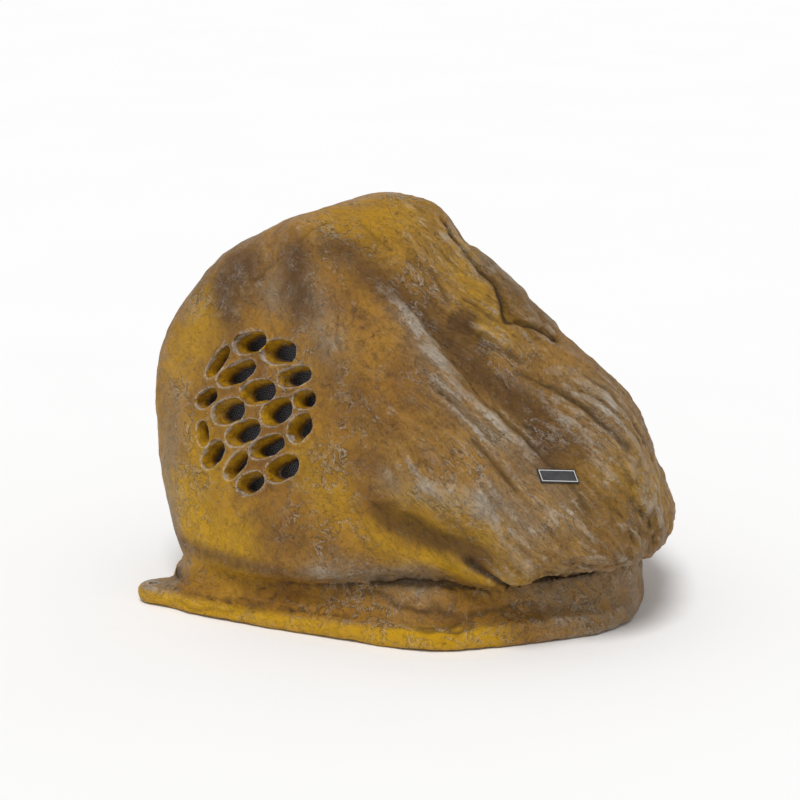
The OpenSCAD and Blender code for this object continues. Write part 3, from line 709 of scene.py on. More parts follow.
@dataclass
class CellField:
    """The round field of irregular leaf-shaped cells in the stone."""

    place: FacePlace
    radius: float = 69
    rib: float = 1.0
    throat_l: float = 0.8
    throat_h: float = 0.64
    sink: float = 1
    mouth: float = 4
    seat: float = 16
    blunt: float = 2.4
    rim_r: float = 1.8
    bead_h: float = 1.5
    bead_at: float = 2
    bead_w: float = 3.2
    points: int = 80
    reach: float = 34
    levels: tuple[float, ...] = (-13.5, -11, -9, -7, -5.5, -4, -2.5, -1, 1, 4, 30)
    cells: tuple[tuple[float, float, float, float, float], ...] = (
        (-15, 81, 50, 25, 20), (30, 77, 54, 30, 11), (-62, 51, 52, 18, 52),
        (-31, 42, 66, 24, 28), (58, 52, 54, 23, 20), (5, 25, 56, 29, 18),
        (76, 28, 35, 22, 16), (-75, 5, 37, 20, 34), (-37, -5, 52, 30, 22),
        (37, 7, 50, 30, 28), (75, -6, 40, 29, 46), (-73, -38, 31, 20, 108),
        (-10, -26, 57, 28, 27), (29, -36, 55, 24, 27), (-53, -60, 44, 24, 50),
        (-15, -66, 46, 22, 50), (56, -57, 53, 29, 29), (11, -83, 44, 25, 28),
    )

    def outline(self, cell: tuple[float, ...], share: tuple[float, float] = (1, 1), lower: float = 0,
                grow: float = 0) -> Rows:
        """Blunt leaf-shaped outline of a cell on the face.

        Args:
            cell: Middle across and up, length and height in hundredths of the field's radius, and turn.
            share: How much of the length and of the height is left.
            lower: How far the outline is moved down.
            grow: How far it is widened all round.

        Returns:
            Points of the outline, anticlockwise.
        """
        across, up, length, height, turn = cell
        unit = self.radius / 100
        angle = np.arange(self.points) * 2 * math.pi / self.points
        half_l = (length * unit - self.rib) * share[0] / 2 + grow
        half_h = (height * unit - self.rib) * share[1] / 2 + grow
        u, v = (np.sign(w) * np.abs(w) ** (2 / self.blunt) * half
                for w, half in ((np.cos(angle), half_l), (np.sin(angle), half_h)))
        c, s = math.cos(math.radians(turn)), math.sin(math.radians(turn))
        return np.stack([across * unit + u * c - v * s, up * unit - lower + u * s + v * c], axis=1)

    def wall_lumps(self, ring: Rows, depth: float) -> Rows:
        """The ring with its wall moved in and out a little, as hand-cut stone is."""
        level = np.full((len(ring), 1), depth * 0.6)
        lumps = fractal(np.hstack([ring, level]), 12, 3, 3.7)
        out = unit_rows(ring - ring.mean(axis=0))
        return ring + out * (lumps * 2.0 - 0.2)[:, None]

    def cutters(self) -> Shape:
        """What is cut out of the stone for the cells.

        Returns:
            A closed shape on the face, one tube for each cell.
        """
        shape = Shape()
        for cell in self.cells:
            rings = []
            for level in (-self.seat - 0.6, *self.levels):
                open_share = min(max((level + self.seat) / (self.seat - self.mouth), 0), 1)
                share = tuple(t + (1 - t) * open_share for t in (self.throat_l, self.throat_h))
                grow = 0.22 * min(max(level + self.mouth, 0), 5)
                ring = self.wall_lumps(self.outline(cell, share, self.sink * (1 - open_share), grow), level)
                rings.append(np.hstack([ring, np.full((len(ring), 1), level)]))
            shape = shape.add(ring_stack(rings))
        return shape

    def edge_gap(self, points: Rows) -> Rows:
        """Distance on the face from each point to the nearest cell's edge, negative inside a cell."""
        gap = np.full(len(points), FAR)
        for cell in self.cells:
            a = self.outline(cell)[::2]
            b = np.roll(a, -1, axis=0)
            near = np.linalg.norm(points - a.mean(axis=0), axis=1) < self.reach
            some = points[near]
            ab = b - a
            t = np.clip(((some[:, None] - a) * ab).sum(-1) / (ab * ab).sum(-1), 0, 1)
            away = np.linalg.norm(some[:, None] - a - t[..., None] * ab, axis=-1).min(axis=1)
            cross = ab[:, 0] * (some[:, None, 1] - a[:, 1]) - ab[:, 1] * (some[:, None, 0] - a[:, 0])
            away[(cross > 0).all(axis=1)] *= -1
            gap[near] = np.minimum(gap[near], away)
        return gap


@dataclass(frozen=True)
class Carving:
    """Cracks, folds and ridges cut by hand into the stone, as routes of azimuth and elevation."""

    cracks: tuple[Mark, ...] = marks(
        (1.0, -4.5, -1, 75, -2, 66, 0, 55, -2, 44, 8, 34), (0.7, -1.3, -86, 74, -61, 72),
        (0.75, -1.6, -46, 70, -32, 66, -24, 59), (0.6, -1.2, -122, 48, -121, 52, -114, 55),
        (0.5, -1.1, -78, 48, -77, 42, -75, 38), (0.6, -1.1, -103, 60, -104, 66, -103, 71),
        (1.3, -4, -33, -21, -28, -23, -17, -31), (0.6, -1.1, -68, -11, -65, -14, -62, -19),
        (0.6, -1.0, -60, -8, -57, -12, -55, -17), (0.7, -0.9, -125, -35, -109, -39, -92, -42, -79, -43),
        (0.8, -1.7, -68, -42, -52, -40, -38, -38, -22, -37, -11, -35), (1.6, -3, 25, -26, 27, -27),
        (0.9, -2, -20, 20, -12, 6, -6, -6), (1.0, -2.2, -8, 30, 0, 16, 4, 4), (0.8, -1.8, -30, 12, -22, -2),
        (0.9, -1.8, 6, 22, 9, 10, 14, 0), (0.9, -2, -14, 44, -6, 32),
    )
    folds: tuple[Mark, ...] = marks(
        (3, 4, 8, 66, 9, 55, 7, 46, 14, 38), (3.2, 4, -58, 61, -38, 44, -30, 28, -21, 15, -14, 6),
        (4, 4, -44, 0, -34, -2, -27, -11, -22, -17), (5, -5, -57, -11, -43, -17, -31, -17),
        (3, 3, -12, 30, -6, 16, -2, 0), (2.6, 2.5, 0, 26, 8, 12), (3.5, -3, -23, 52, -14, 38),
        (6, -2, -100, -20, -80, -21), (9, 2, -128, 44, -120, 30),
    )


CARVING = Carving()


@dataclass
class StoneHousing:
    """The moulded rock with its plinth, lip, ears and cells, as one piece."""

    form: StoneForm
    origin: Vector
    field_of_cells: CellField
    # Millimetres about the rock's middle line, and degrees
    voxel: float = 3.1
    wall: float = 8
    rim_w: float = 18
    rebate_w: float = 12
    rebate_z: float = 9
    boss_r: float = 89
    ear_r: float = 15
    ear_hole_r: float = 4
    ears: tuple[tuple[float, float], ...] = ((-149, -151), (-149, 143))
    ear_runs: tuple[tuple[float, float], ...] = ((30, -102), (-40, 120))
    ear_run_r: float = 25
    gland_az: float = 128
    gland_at: tuple[float, float] = (162, 40)
    gland_spot_r: float = 18
    gland_bore_r: float = 8.3
    # Stone surface: sways of the routes (share, size), lumps (height, size, offset) and strata (and dip)
    sways: tuple[tuple[float, float], ...] = ((0.035, 42), (0.012, 13))
    lumps: tuple[tuple[float, float, float], ...] = ((1.9, 55, 0), (0.55, 14, 2.0))
    strata: tuple[tuple[float, float, float, float], ...] = ((6.5, 34, 5.0, 0.24), (3.4, 12, 9.0, 0.22))
    flow_to: tuple[float, float, float] = (0.70, 0.30, -0.65)
    relief_sink: float = 0.8
    slope_az: float = 25
    slope_span: float = 72
    # Face of the cells: where the stone grows calm towards it, and how much
    field_r: float = 86
    field_fade: float = 16
    field_calm: float = 0.7
    # Rounding of the solid, its crease and its lip, which stays sharp at the front corner
    solid_rounds: int = 5
    crease_rounds: int = 110
    crease_w: float = 13
    corner_w: float = 9
    crease_share: float = 0.9
    crease_fill: float = 1.3
    sharp_lip_az: float = -38
    sharp_lip_span: float = 34
    # Seat of the badge: how far round it the stone is cut and filled, and how deep it sits
    badge_seat_r: tuple[float, float] = (27, 19)
    badge_sink: float = 0.3
    sharp_angle: float = 52

    def ring(self, count: int, z: float, sides: tuple, inset: float, ledge: float = 0) -> Rows:
        """One level ring of the plinth or lip."""
        az = turns(count)
        r = self.form.outline(az, sides) - inset - ledge * self.form.ledge_share(az)
        x, y = r * np.cos(np.radians(az)), r * np.sin(np.radians(az))
        return np.stack([x, y, np.full(count, float(z))], axis=1)

    def boulder(self, count: int, rows: int, inset: float = 0) -> Shape:
        """The rock above its plinth as a closed shape."""
        rings = []
        for el in np.linspace(-90, 90, rows + 1)[1:-1]:
            directions = heading(turns(count), np.full(count, el))
            rings.append(directions * self.form.radius(directions, inset)[:, None] + self.middle())
        return ring_stack(rings)

    def plinth(self, count: int) -> Shape:
        """The plinth with its fading ledge."""
        form, sides = self.form, self.form.plinth_skin
        neck = form.neck_z
        levels = [
            (2, 0, 0), (form.lip_t + 4, 0, 0), (neck - 24, 0, 2), (neck - 12, 1, form.ledge_w * 0.35),
            (neck - 2, 3.2, form.ledge_w), (neck + 14, 7, form.ledge_w + 22),
            (neck + 34, 40, form.ledge_w + 30),
        ]
        return ring_stack([self.ring(count, z, sides, inset, ledge) for z, inset, ledge in levels])

    def lip(self, count: int) -> Shape:
        """The lip round the foot, thickest at its front corner."""
        form, sides = self.form, self.form.lip_sides
        tops = form.lip_top(turns(count))

        def sloped(inset: float, lower: float) -> Rows:
            """A ring that follows the lip's top."""
            ring = self.ring(count, 0, sides, inset)
            ring[:, 2] = tops - lower
            return ring

        return ring_stack([
            self.ring(count, 0, sides, 2), self.ring(count, 3, sides, 0), sloped(0, 4), sloped(1.5, 1.2),
            sloped(5, 0), self.ring(count, form.lip_t - 3, sides, 60),
        ])

    def ear(self, place: tuple[float, float], run: tuple[float, float]) -> Shape:
        """One ear that takes a ground screw, with the flange that runs from it along the lip."""
        tool = bmesh.new()
        inner = (place[0] * 0.76, place[1] * 0.76)
        top = self.form.lip_t
        for (x, y), radius in ((place, self.ear_r), (inner, self.ear_r + 10), (run, self.ear_run_r)):
            for z, r in ((0, radius - 2), (2, radius), (top - 3, radius), (top, radius - 3)):
                for k in range(48):
                    turn = math.radians(k * 7.5)
                    tool.verts.new((x + r * math.cos(turn), y + r * math.sin(turn), z))
        made = bmesh.ops.convex_hull(tool, input=tool.verts)
        spare = list(set(made["geom_interior"] + made["geom_unused"]))
        bmesh.ops.delete(tool, geom=spare, context="VERTS")
        tool.verts.index_update()
        faces = [tuple(v.index for v in f.verts) for f in tool.faces]
        shape = Shape(np.array([v.co for v in tool.verts]), faces)
        tool.free()
        return shape

    def solid(self) -> Object:
        """The outside of the housing as one even mesh of small squares."""
        shape = self.boulder(360, 180).add(self.plinth(360)).add(self.lip(360))
        for place, run in zip(self.ears, self.ear_runs):
            shape = shape.add(self.ear(place, run))
        obj = object_from("stone_housing", shape, self.origin)
        remesh = obj.modifiers.new("even", "REMESH")
        remesh.mode = "VOXEL"
        remesh.voxel_size = self.voxel * MM
        bake_modifiers(obj)
        return obj

    def refine(self, obj: Object) -> None:
        """Halves the squares on the face of the cells and along the cracks."""
        made = bmesh.new()
        made.from_mesh(obj.data)
        points = np.array([f.calc_center_median() for f in made.faces]) / MM - np.array(self.origin)
        local = self.field_of_cells.place.local(points)
        across = np.linalg.norm(local[:, :2], axis=1)
        close = (across < self.field_of_cells.radius + 5) & (local[:, 2] > -40)
        directions = self.wavy(points)
        for crack in CARVING.cracks:
            close |= crack.share(directions) > 0.2
        made.faces.ensure_lookup_table()
        edges = {e for k in np.flatnonzero(close).tolist() for e in made.faces[k].edges}
        bmesh.ops.subdivide_edges(made, edges=list(edges), cuts=1, use_grid_fill=True)
        bmesh.ops.triangulate(made, faces=[f for f in made.faces if len(f.verts) > 4])
        made.to_mesh(obj.data)
        made.free()

    def middle(self) -> Rows:
        """The rock's middle, from which directions are taken."""
        return np.array([0, 0, self.form.core_z])

    def wavy(self, points: Rows) -> Rows:
        """Directions from the rock's middle, swayed so that routes drawn on them run unevenly."""
        directions = unit_rows(points - self.middle())
        for amount, size in self.sways:
            directions = directions + amount * sway(points, size)
        return unit_rows(directions)

    def flow(self, points: Rows) -> Rows:
        """Coordinates that change slowly down to the right and fast across that, for strata."""
        along = unit_rows(np.array(self.flow_to))
        side = unit_rows(np.cross(along, (0, 0, 1)))
        axes = np.stack([side, np.cross(side, along), along * 0.17])
        return (points + 15 * sway(points, 95)) @ axes.T

    def build(self) -> Object:
        """Builds the housing and replaces the CAD solid with it.

        Returns:
            The finished piece.
        """
        obj = self.solid()
        write_points(obj.data, softened(obj.data, read_rows(obj.data), self.solid_rounds))
        self.fill_creases(obj)
        self.refine(obj)
        self.carve(obj)
        self.hollow_out(obj)
        self.mark(obj)
        return obj

    def points(self, mesh: Mesh) -> Rows:
        """The mesh's points in millimetres about the rock's middle line."""
        return read_rows(mesh) / MM - np.array(self.origin)

    def fill_creases(self, obj: Object) -> None:
        """Rounds out the crease under the rock and the corner on top of the lip, as moulding clay would."""
        mesh = obj.data
        metres, normals, points = read_rows(mesh), read_rows(mesh, "normal"), self.points(mesh)
        crease = bell(points[:, 2] - self.form.neck_z, -3, self.crease_w)
        plain = 1 - bell(azimuths(points), self.sharp_lip_az, self.sharp_lip_span, 6)
        corner = bell(points[:, 2] - self.form.lip_t, 3, self.corner_w) * plain
        share = np.clip(np.maximum(self.crease_share * crease, corner), 0, 1)[:, None]
        soft = softened(mesh, metres, self.crease_rounds)
        move = ((soft - metres) * normals).sum(axis=1, keepdims=True)
        write_points(mesh, metres + normals * np.maximum(move, 0) * share * self.crease_fill)

    def on_field(self, local: Rows) -> Rows:
        """How much a point belongs to the face of the cells, from 0 to 1."""
        across = np.linalg.norm(local[:, :2], axis=1)
        return np.clip((self.field_r - across) / self.field_fade, 0, 1) * (local[:, 2] > -45)

    def carve(self, obj: Object) -> None:
        """Cuts lumps, strata, cracks and the round ribs into the stone's surface."""
        mesh = obj.data
        points, normals = self.points(mesh), read_rows(mesh, "normal")
        local = self.field_of_cells.place.local(points)
        on_field = self.on_field(local)
        calm = 1 - self.field_calm * on_field
        lumps = sum(height * fractal(points, size, 3, offset) for height, size, offset in self.lumps)
        rise = self.relief(points) + calm * lumps
        points = points + normals * (rise - self.relief_sink)[:, None]
        points -= self.badge_seat(points)
        gap = np.full(len(points), FAR)
        near_cells = on_field > 0.4
        gap[near_cells] = self.field_of_cells.edge_gap(local[near_cells][:, :2])
        cells = self.field_of_cells
        rim_r = cells.rim_r
        near = np.clip(rim_r - gap, 0, rim_r)
        lower = rim_r - np.sqrt(np.maximum(rim_r ** 2 - near ** 2, 0))
        raised = cells.bead_h * bell(gap, cells.bead_at, cells.bead_w)
        points += self.outward() * (raised - lower)[:, None]
        low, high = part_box("rock_shell")
        points = (points + np.array(self.origin)) * MM
        write_points(mesh, np.clip(points, np.array(low), np.array(high)))

    def badge_seat(self, points: Rows) -> Rows:
        """How far each point stands in the way of the badge, as a move to take off."""
        low, high = BadgePlate().corners(frame["nodes"]["badge_plate"])
        out = unit_rows((high - low).mean(axis=0))
        offset = points + np.array(self.origin) - low.mean(axis=0)
        gap, height = np.linalg.norm(offset, axis=1), offset @ out - self.badge_sink
        cut_r, fill_r = self.badge_seat_r
        share = np.where(height > 0, bell(gap, 0, cut_r, 4), bell(gap, 0, fill_r, 6))
        return (height * share)[:, None] * out

    def relief(self, points: Rows) -> Rows:
        """Height of the strata, cracks and folds at each point, in millimetres."""
        flow, rugged, directions = self.flow(points), self.ruggedness(points), self.wavy(points)
        rise = np.zeros(len(points))
        for height, size, offset, dip in self.strata:
            rise += rugged * height * (np.abs(fractal(flow, size, 3, offset)) - dip)
        for mark in CARVING.cracks + CARVING.folds:
            rise += mark.amount * mark.share(directions)
        return rise

    def ruggedness(self, points: Rows) -> Rows:
        """How rough the stone is at each point, from 0 to 1."""
        slope = bell(turn_from(azimuths(points), self.slope_az), 0, self.slope_span, 4)
        foot = np.clip((points[:, 2] - 30) / 40, 0.12, 1)
        patches = np.clip(0.8 + 0.6 * fractal(points, 60, 2, 4.0), 0.25, 1.2)
        return (0.16 + 0.84 * slope) * foot * patches

    def hollow_out(self, obj: Object) -> None:
        """Cuts the cells, the inside, the base's seat, the ears' holes and the gland's seat."""
        face = self.field_of_cells.place.matrix()
        self.cut(obj, "cells", self.field_of_cells.cutters().moved(face))
        inside = object_from("inside", self.boulder(48, 24, self.wall), self.origin)
        self.cut(inside, "inside_foot", self.foot_hollow(), "UNION")
        self.cut(inside, "boss", self.drum(self.boss_r, -self.field_of_cells.seat, 90).moved(face))
        gland = (
            Matrix.Rotation(math.radians(self.gland_az), 4, "Z")
            @ Matrix.Translation((self.gland_at[0], 0, self.gland_at[1]))
            @ Matrix.Rotation(math.radians(90), 4, "Y")
        )
        self.cut(inside, "gland_boss", self.drum(self.gland_spot_r + 1, -9, 40).moved(gland))
        combine(obj, inside)
        rim = self.rim_w - self.rebate_w
        seat = [self.ring(48, z, self.form.plinth_sides, rim) for z in (-1, self.rebate_z)]
        self.cut(obj, "base_seat", ring_stack(seat))
        for x, y in self.ears:
            spot = Matrix.Translation((x, y, 0))
            self.cut(obj, "ear_hole", self.drum(self.ear_hole_r, -1, 40).moved(spot))
        self.cut(obj, "gland_spot", self.drum(self.gland_spot_r, 0, 40).moved(gland))
        self.cut(obj, "gland_bore", self.drum(self.gland_bore_r, -30, 30).moved(gland))

    def cut(self, obj: Object, name: str, shape: Shape, operation: str = "DIFFERENCE") -> None:
        """Cuts a shape about the rock's middle line out of obj, or joins it on."""
        combine(obj, object_from(name, shape, self.origin), operation)

    def foot_hollow(self) -> Shape:
        """The hollow inside the plinth."""
        form, sides = self.form, self.form.plinth_sides
        neck = form.neck_z
        levels = [
            (-1, self.rim_w, 0), (17, self.rim_w, 0), (26, self.wall + 2, 4),
            (neck - 14, self.wall + 3, form.ledge_w * 0.35 + 2),
            (neck - 2, self.wall + 6, form.ledge_w + 3), (neck + 20, self.wall + 12, form.ledge_w + 26),
        ]
        return ring_stack([self.ring(48, z, sides, inset, ledge) for z, inset, ledge in levels])

    @staticmethod
    def drum(radius: float, low: float, high: float, count: int = 48) -> Shape:
        """A round cutter from one level to another."""
        turn = np.arange(count) * 2 * math.pi / count
        ring = np.stack([radius * np.cos(turn), radius * np.sin(turn)], axis=1)
        return ring_stack([np.hstack([ring, np.full((count, 1), float(z))]) for z in (low, high)])

    def mark(self, obj: Object) -> None:
        """Writes how proud each point stands and which paint, painted shade and painted highlight lie on
        it, for the stone's material.
        """
        mesh = obj.data
        points, normals = self.points(mesh), read_rows(mesh, "normal")
        near = softened(mesh, points, 5)
        directions = self.wavy(points)
        paint = np.ones((len(points), 4))
        paint[:, :3] = STONE_PAINT.layers(points, directions)
        # Share of painted shade in the deeper cracks, for the material's umber.
        crack = np.zeros(len(points))
        for mark in CARVING.cracks:
            crack = np.maximum(crack, np.clip(-mark.amount / 3, 0, 1) * mark.share(directions) ** 2)
        rim = np.zeros(len(points))
        local = self.field_of_cells.place.local(points)
        near_cells = self.on_field(local) > 0.4
        gap = self.field_of_cells.edge_gap(local[near_cells][:, :2])
        rim[near_cells] = bell(gap, 1.0, 1.3) * (local[near_cells][:, 2] > -9)
        inside = np.zeros(len(points))
        inside[near_cells] = np.clip(0.4 - gap, 0, 1) * (normals[near_cells] @ self.outward() < 0.8)
        # Painted shade: cell walls deeper than 9 mm into the face go dark brown; nearer the mouth they take
        # gold paint.
        cell_shade = np.clip((-local[:, 2] - 9) / 7, 0, 1)
        paint[:, 1] = np.maximum(paint[:, 1], 0.75 * inside * (1 - cell_shade))
        paint[:, 0] = np.maximum(paint[:, 0] * (1 - inside), 0.9 * inside * cell_shade)
        for name, values in (
            ("proud", ((points - near) * normals).sum(axis=1)),
            ("broad", self.relief(points)),
            ("carved", self.ruggedness(points)),
            ("crack", 0.85 * crack),
            ("rim", 0.8 * rim),
            ("strata", self.flow(points) / 9),
            ("paint", paint),
        ):
            store(mesh, name, values)

    def outward(self) -> Rows:
        """The way the face of the cells looks."""
        return np.array(self.field_of_cells.place.matrix())[:3, 2]

    def dress(self, obj: Object) -> None:
        """Gives the housing its paint and puts it in place of the CAD solid."""
        obj.data.materials.clear()
        obj.data.materials.append(PaintedStone().material())
        obj.data.shade_smooth()
        obj.data.set_sharp_from_angle(angle=math.radians(self.sharp_angle))
        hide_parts("rock_shell")
        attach(obj, BODY)


@dataclass(frozen=True)
class PaintPlan:
    """Where the washes lie on the stone: azimuth and elevation routes about its middle."""

    washes: tuple[Mark, ...] = marks(
        (8, 0.85, -129, 48, -130, 40), (7, 0.8, -103, 56, -96, 48),
        (7, 0.75, -88, 64, -60, 62, -41, 58, -28, 45, -19, 34, -11, 20, -9, 6), (7, 0.4, -84, 38, -61, 18),
        (7, 0.35, -84, 2, -61, 6), (5, 0.4, -101, -24, -79, -25), (10, 0.5, -5, -5, 8, -14),
        (5, 0.5, -54, -14, -40, -17, -31, -18), (4, 0.9, -23, 52, -18, 50), (8, 0.5, -145, 36, -140, 52),
        (7, 0.6, 4, 60, 8, 40), (6, 0.35, -130, 18, -120, 14), (12, 0.4, 20, 20, 24, 0),
    )
    golds: tuple[Mark, ...] = marks(
        (8, 0.55, -137, 34, -140, 20), (9, 0.9, -132, -12, -122, -22, -110, -26),
        (8, 0.5, -88, 4, -73, -10), (5, 0.95, -42, -24, -30, -27, -22, -26),
        (6, 0.75, -52, -12, -40, -14, -31, -14), (6, 0.6, -62, -18, -50, -24), (5, 0.6, -50, -3, -38, -5),
        (9, 0.45, -92, 71, -50, 80), (7, 0.5, -11, 66, -7, 46), (7, 0.4, -2, -2, 12, -5),
        (8, 0.6, -128, 1, -120, -9), (22, 0.5, 160, 10, 200, 0), (18, 0.4, 100, -5, 130, 5),
    )
    greys: tuple[Mark, ...] = marks(
        (5.5, 0.75, -112, 50, -98, 52, -79, 40), (5, 0.7, -50, 54, -42, 44, -33, 26, -22, 9),
        (5, 0.6, -55, 1, -45, -1), (5, 0.85, -30, -2, -22, -10), (9, 0.65, -7, -30, 18, -31),
        (7, 0.55, -26, 17, -12, -4), (8, 0.45, 2, 17, 3, 5), (16, 0.5, 60, 40, 80, 10),
        (14, 0.5, 170, 50, 190, 30),
    )
    # Painted highlight: grey on the upward-facing ledge under the rock's front, where it also clears the
    # wash.
    shelf_highlight: Mark = Mark(((-78, -33), (-62, -34), (-46, -33)), 6, 0.95)
    gold_lip_az: tuple[float, float] = (-150, -16)
    gold_lip_z: float = 17
    crease_z: float = 55
    crease_w: float = 9
    ear_at: tuple[float, float] = (-150, -150)
    ear_w: float = 26

    def layers(self, points: Rows, directions: Rows) -> Rows:
        """Shares of brown wash, gold and grey at each point; the brown share also holds painted shade along
        the neck crease and the grey share a painted highlight on the ledge.

        Args:
            points: Millimetres about the rock's middle line.
            directions: Unit vectors from the rock's middle.

        Returns:
            Three shares of 0 to 1 a row.
        """
        made = np.zeros((len(points), 3))
        for k, marks in enumerate((self.washes, self.golds, self.greys)):
            for mark in marks:
                made[:, k] = np.maximum(made[:, k], mark.amount * mark.share(directions))
        azimuth = azimuths(points)
        first, last = self.gold_lip_az
        share = np.clip((azimuth - first) / 8, 0, 1) * np.clip((last - azimuth) / 10, 0, 1)
        lip = np.clip((self.gold_lip_z + 5 * bell(azimuth, -36, 30) - points[:, 2]) / 5, 0, 1) * share
        crease = bell(points[:, 2], self.crease_z, self.crease_w)
        lit = self.shelf_highlight.share(directions)
        # Painted shade: brown along the neck crease under the rock, stronger on the left and taken away
        # where the ledge's painted highlight lies.
        made[:, 0] = np.maximum(made[:, 0], (0.3 + 0.3 * (azimuth < -70)) * crease) * (1 - 0.9 * lit)
        made[:, 2] = np.maximum(made[:, 2], self.shelf_highlight.amount * lit)
        made[:, 1] = np.maximum(made[:, 1] * (1 - 0.5 * crease), 0.95 * lip)
        made[:, 0] *= 1 - lip
        made[:, 2] *= 1 - lip
        away = (points[:, :2] - self.ear_at) / self.ear_w
        ear = bell((away ** 2).sum(axis=1), 0, 1)
        made[:, 2] = np.maximum(made[:, 2], 0.8 * ear * (points[:, 2] > 13))
        return made


STONE_PAINT = PaintPlan()


class TreeBench(Bench):
    """Puts geometry nodes together in one tree with named inputs."""

    def __init__(self, name: str, sizes: dict[str, float]) -> None:
        """Starts the tree.

        Args:
            name: Name of the tree.
            sizes: Named inputs with their values.
        """
        super().__init__(bpy.data.node_groups.new(name, "GeometryNodeTree"))
        self.tree.interface.new_socket("Geometry", in_out="OUTPUT", socket_type="NodeSocketGeometry")
        self.sizes = sizes
        self.ids: dict[str, str] = {}
        for key in sizes:
            socket = self.tree.interface.new_socket(key, in_out="INPUT", socket_type="NodeSocketFloat")
            self.ids[key] = socket.identifier
        finish = self.tree.interface.new_socket("Finish", in_out="INPUT", socket_type="NodeSocketMaterial")
        self.ids["Finish"] = finish.identifier
        self.inputs = self.tree.nodes.new("NodeGroupInput").outputs
        self.output = self.tree.nodes.new("NodeGroupOutput")

    def size(self, name: str) -> Value:
        """The named input."""
        return Value(self, self.inputs[name])

    def cylinder(self, sides: int, radius: Value, depth: Value) -> Value:
        """A closed round bar."""
        return self.value("GeometryNodeMeshCylinder", "Mesh", Vertices=sides, Radius=radius, Depth=depth)

    def repeated(self, points: Value, instance: Value) -> Value:
        """The instance at every point, made real."""
        placed = self.value("GeometryNodeInstanceOnPoints", Points=points, Instance=instance)
        return self.value("GeometryNodeRealizeInstances", Geometry=placed)

    def bake(self, name: str, geometry: Value, finish: Material) -> Object:
        """Ends the tree, runs it once and keeps the result as a plain mesh.

        Args:
            name: Name of the new object.
            geometry: What the tree has made.
            finish: Material of the piece.

        Returns:
            The object with its plain mesh and no modifier.
        """
        real = self.node("GeometryNodeRealizeInstances", Geometry=geometry)
        dressed = self.node("GeometryNodeSetMaterial", Geometry=real.outputs[0],
                            Material=self.inputs["Finish"])
        self.tree.links.new(dressed.outputs[0], self.output.inputs[0])
        obj = object_from(name, Shape(), Vector((0, 0, 0)))
        modifier = obj.modifiers.new("made", "NODES")
        modifier.node_group = self.tree
        for key, value in self.sizes.items():
            modifier[self.ids[key]] = value
        modifier[self.ids["Finish"]] = finish
        bake_modifiers(obj)
        return obj


@dataclass
class SpeakerGuard:
    """The perforated black sheet behind the cells."""

    place: FacePlace
    origin: Vector
    radius: float = 84
    thickness: float = 0.8
    seat: float = 16
    open_r: float = 70
    pitch: float = 2.5
    hole_r: float = 0.85
    bolt_r: float = 78
    bolt_hole_r: float = 2.3

    def build(self) -> Object:
        """Punches the sheet with Geometry Nodes and sets it on its seat.

        Returns:
            The guard as a plain mesh.
        """
        bench = TreeBench("punched_guard", {
            "Radius": self.radius * MM, "Thickness": self.thickness * MM, "Open Radius": self.open_r * MM,
            "Pitch": self.pitch * MM, "Hole Radius": self.hole_r * MM, "Bolt Radius": self.bolt_r * MM,
            "Bolt Hole Radius": self.bolt_hole_r * MM,
        })
        pitch = bench.size("Pitch")
        depth = bench.size("Thickness")
        row = pitch * (math.sqrt(3) / 2)
        count = 2 * math.ceil(self.open_r / self.pitch) + 3
        grid = bench.value("GeometryNodeMeshGrid", in0=pitch * float(count - 1), in1=row * float(count + 8),
                           in2=count, in3=count + 9)
        place = bench.value("GeometryNodeInputPosition")
        along = bench.value("ShaderNodeSeparateXYZ", "Y", in0=place)
        odd = bench.math("FLOORED_MODULO", bench.math("ROUND", bench.math("DIVIDE", along, row)), 2.0)
        offset = bench.value("ShaderNodeCombineXYZ", in0=odd * (pitch * 0.5))
        moved = bench.value("GeometryNodeSetPosition", Geometry=grid, Offset=offset)
        reach = bench.value("ShaderNodeVectorMath", "Value", {"operation": "LENGTH"}, in0=place)
        outside = bench.math("GREATER_THAN", reach, bench.size("Open Radius"))
        kept = bench.value("GeometryNodeDeleteGeometry", 0, {"domain": "POINT"}, Geometry=moved,
                           Selection=outside)
        circle = bench.value("GeometryNodeMeshCircle", Vertices=4, Radius=bench.size("Bolt Radius"))
        bolts = bench.value("GeometryNodeTransform", Geometry=circle, Rotation=(0, 0, math.pi / 4))
        tools = bench.node("GeometryNodeJoinGeometry")
        for points, sides, radius in ((kept, 6, "Hole Radius"), (bolts, 24, "Bolt Hole Radius")):
            punch = bench.cylinder(sides, bench.size(radius), depth * 3.0)
            bench.feed(tools.inputs[0], bench.repeated(points, punch))
        disc = bench.cylinder(96, bench.size("Radius"), depth)
        cutting = {"operation": "DIFFERENCE", "solver": "MANIFOLD"}
        punched = bench.value("GeometryNodeMeshBoolean", 0, cutting, in0=disc, in1=tools.outputs[0])
        obj = bench.bake("speaker_guard", punched, FINISHES["guard_black"].material())
        lowered = Matrix.Translation((0, 0, -self.seat - self.thickness / 2))
        millimetres = self.place.matrix() @ lowered
        obj.data.transform(Matrix.Scale(1 / MM, 4))
        obj.data.transform(Matrix.Scale(MM, 4) @ Matrix.Translation(self.origin) @ millimetres)
        obj.data.update()
        return obj

    def dress(self, obj: Object) -> None:
        """Puts the guard in place of the plain CAD disc."""
        obj.data.shade_flat()
        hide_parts("speaker_mesh")
        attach(obj, BODY)


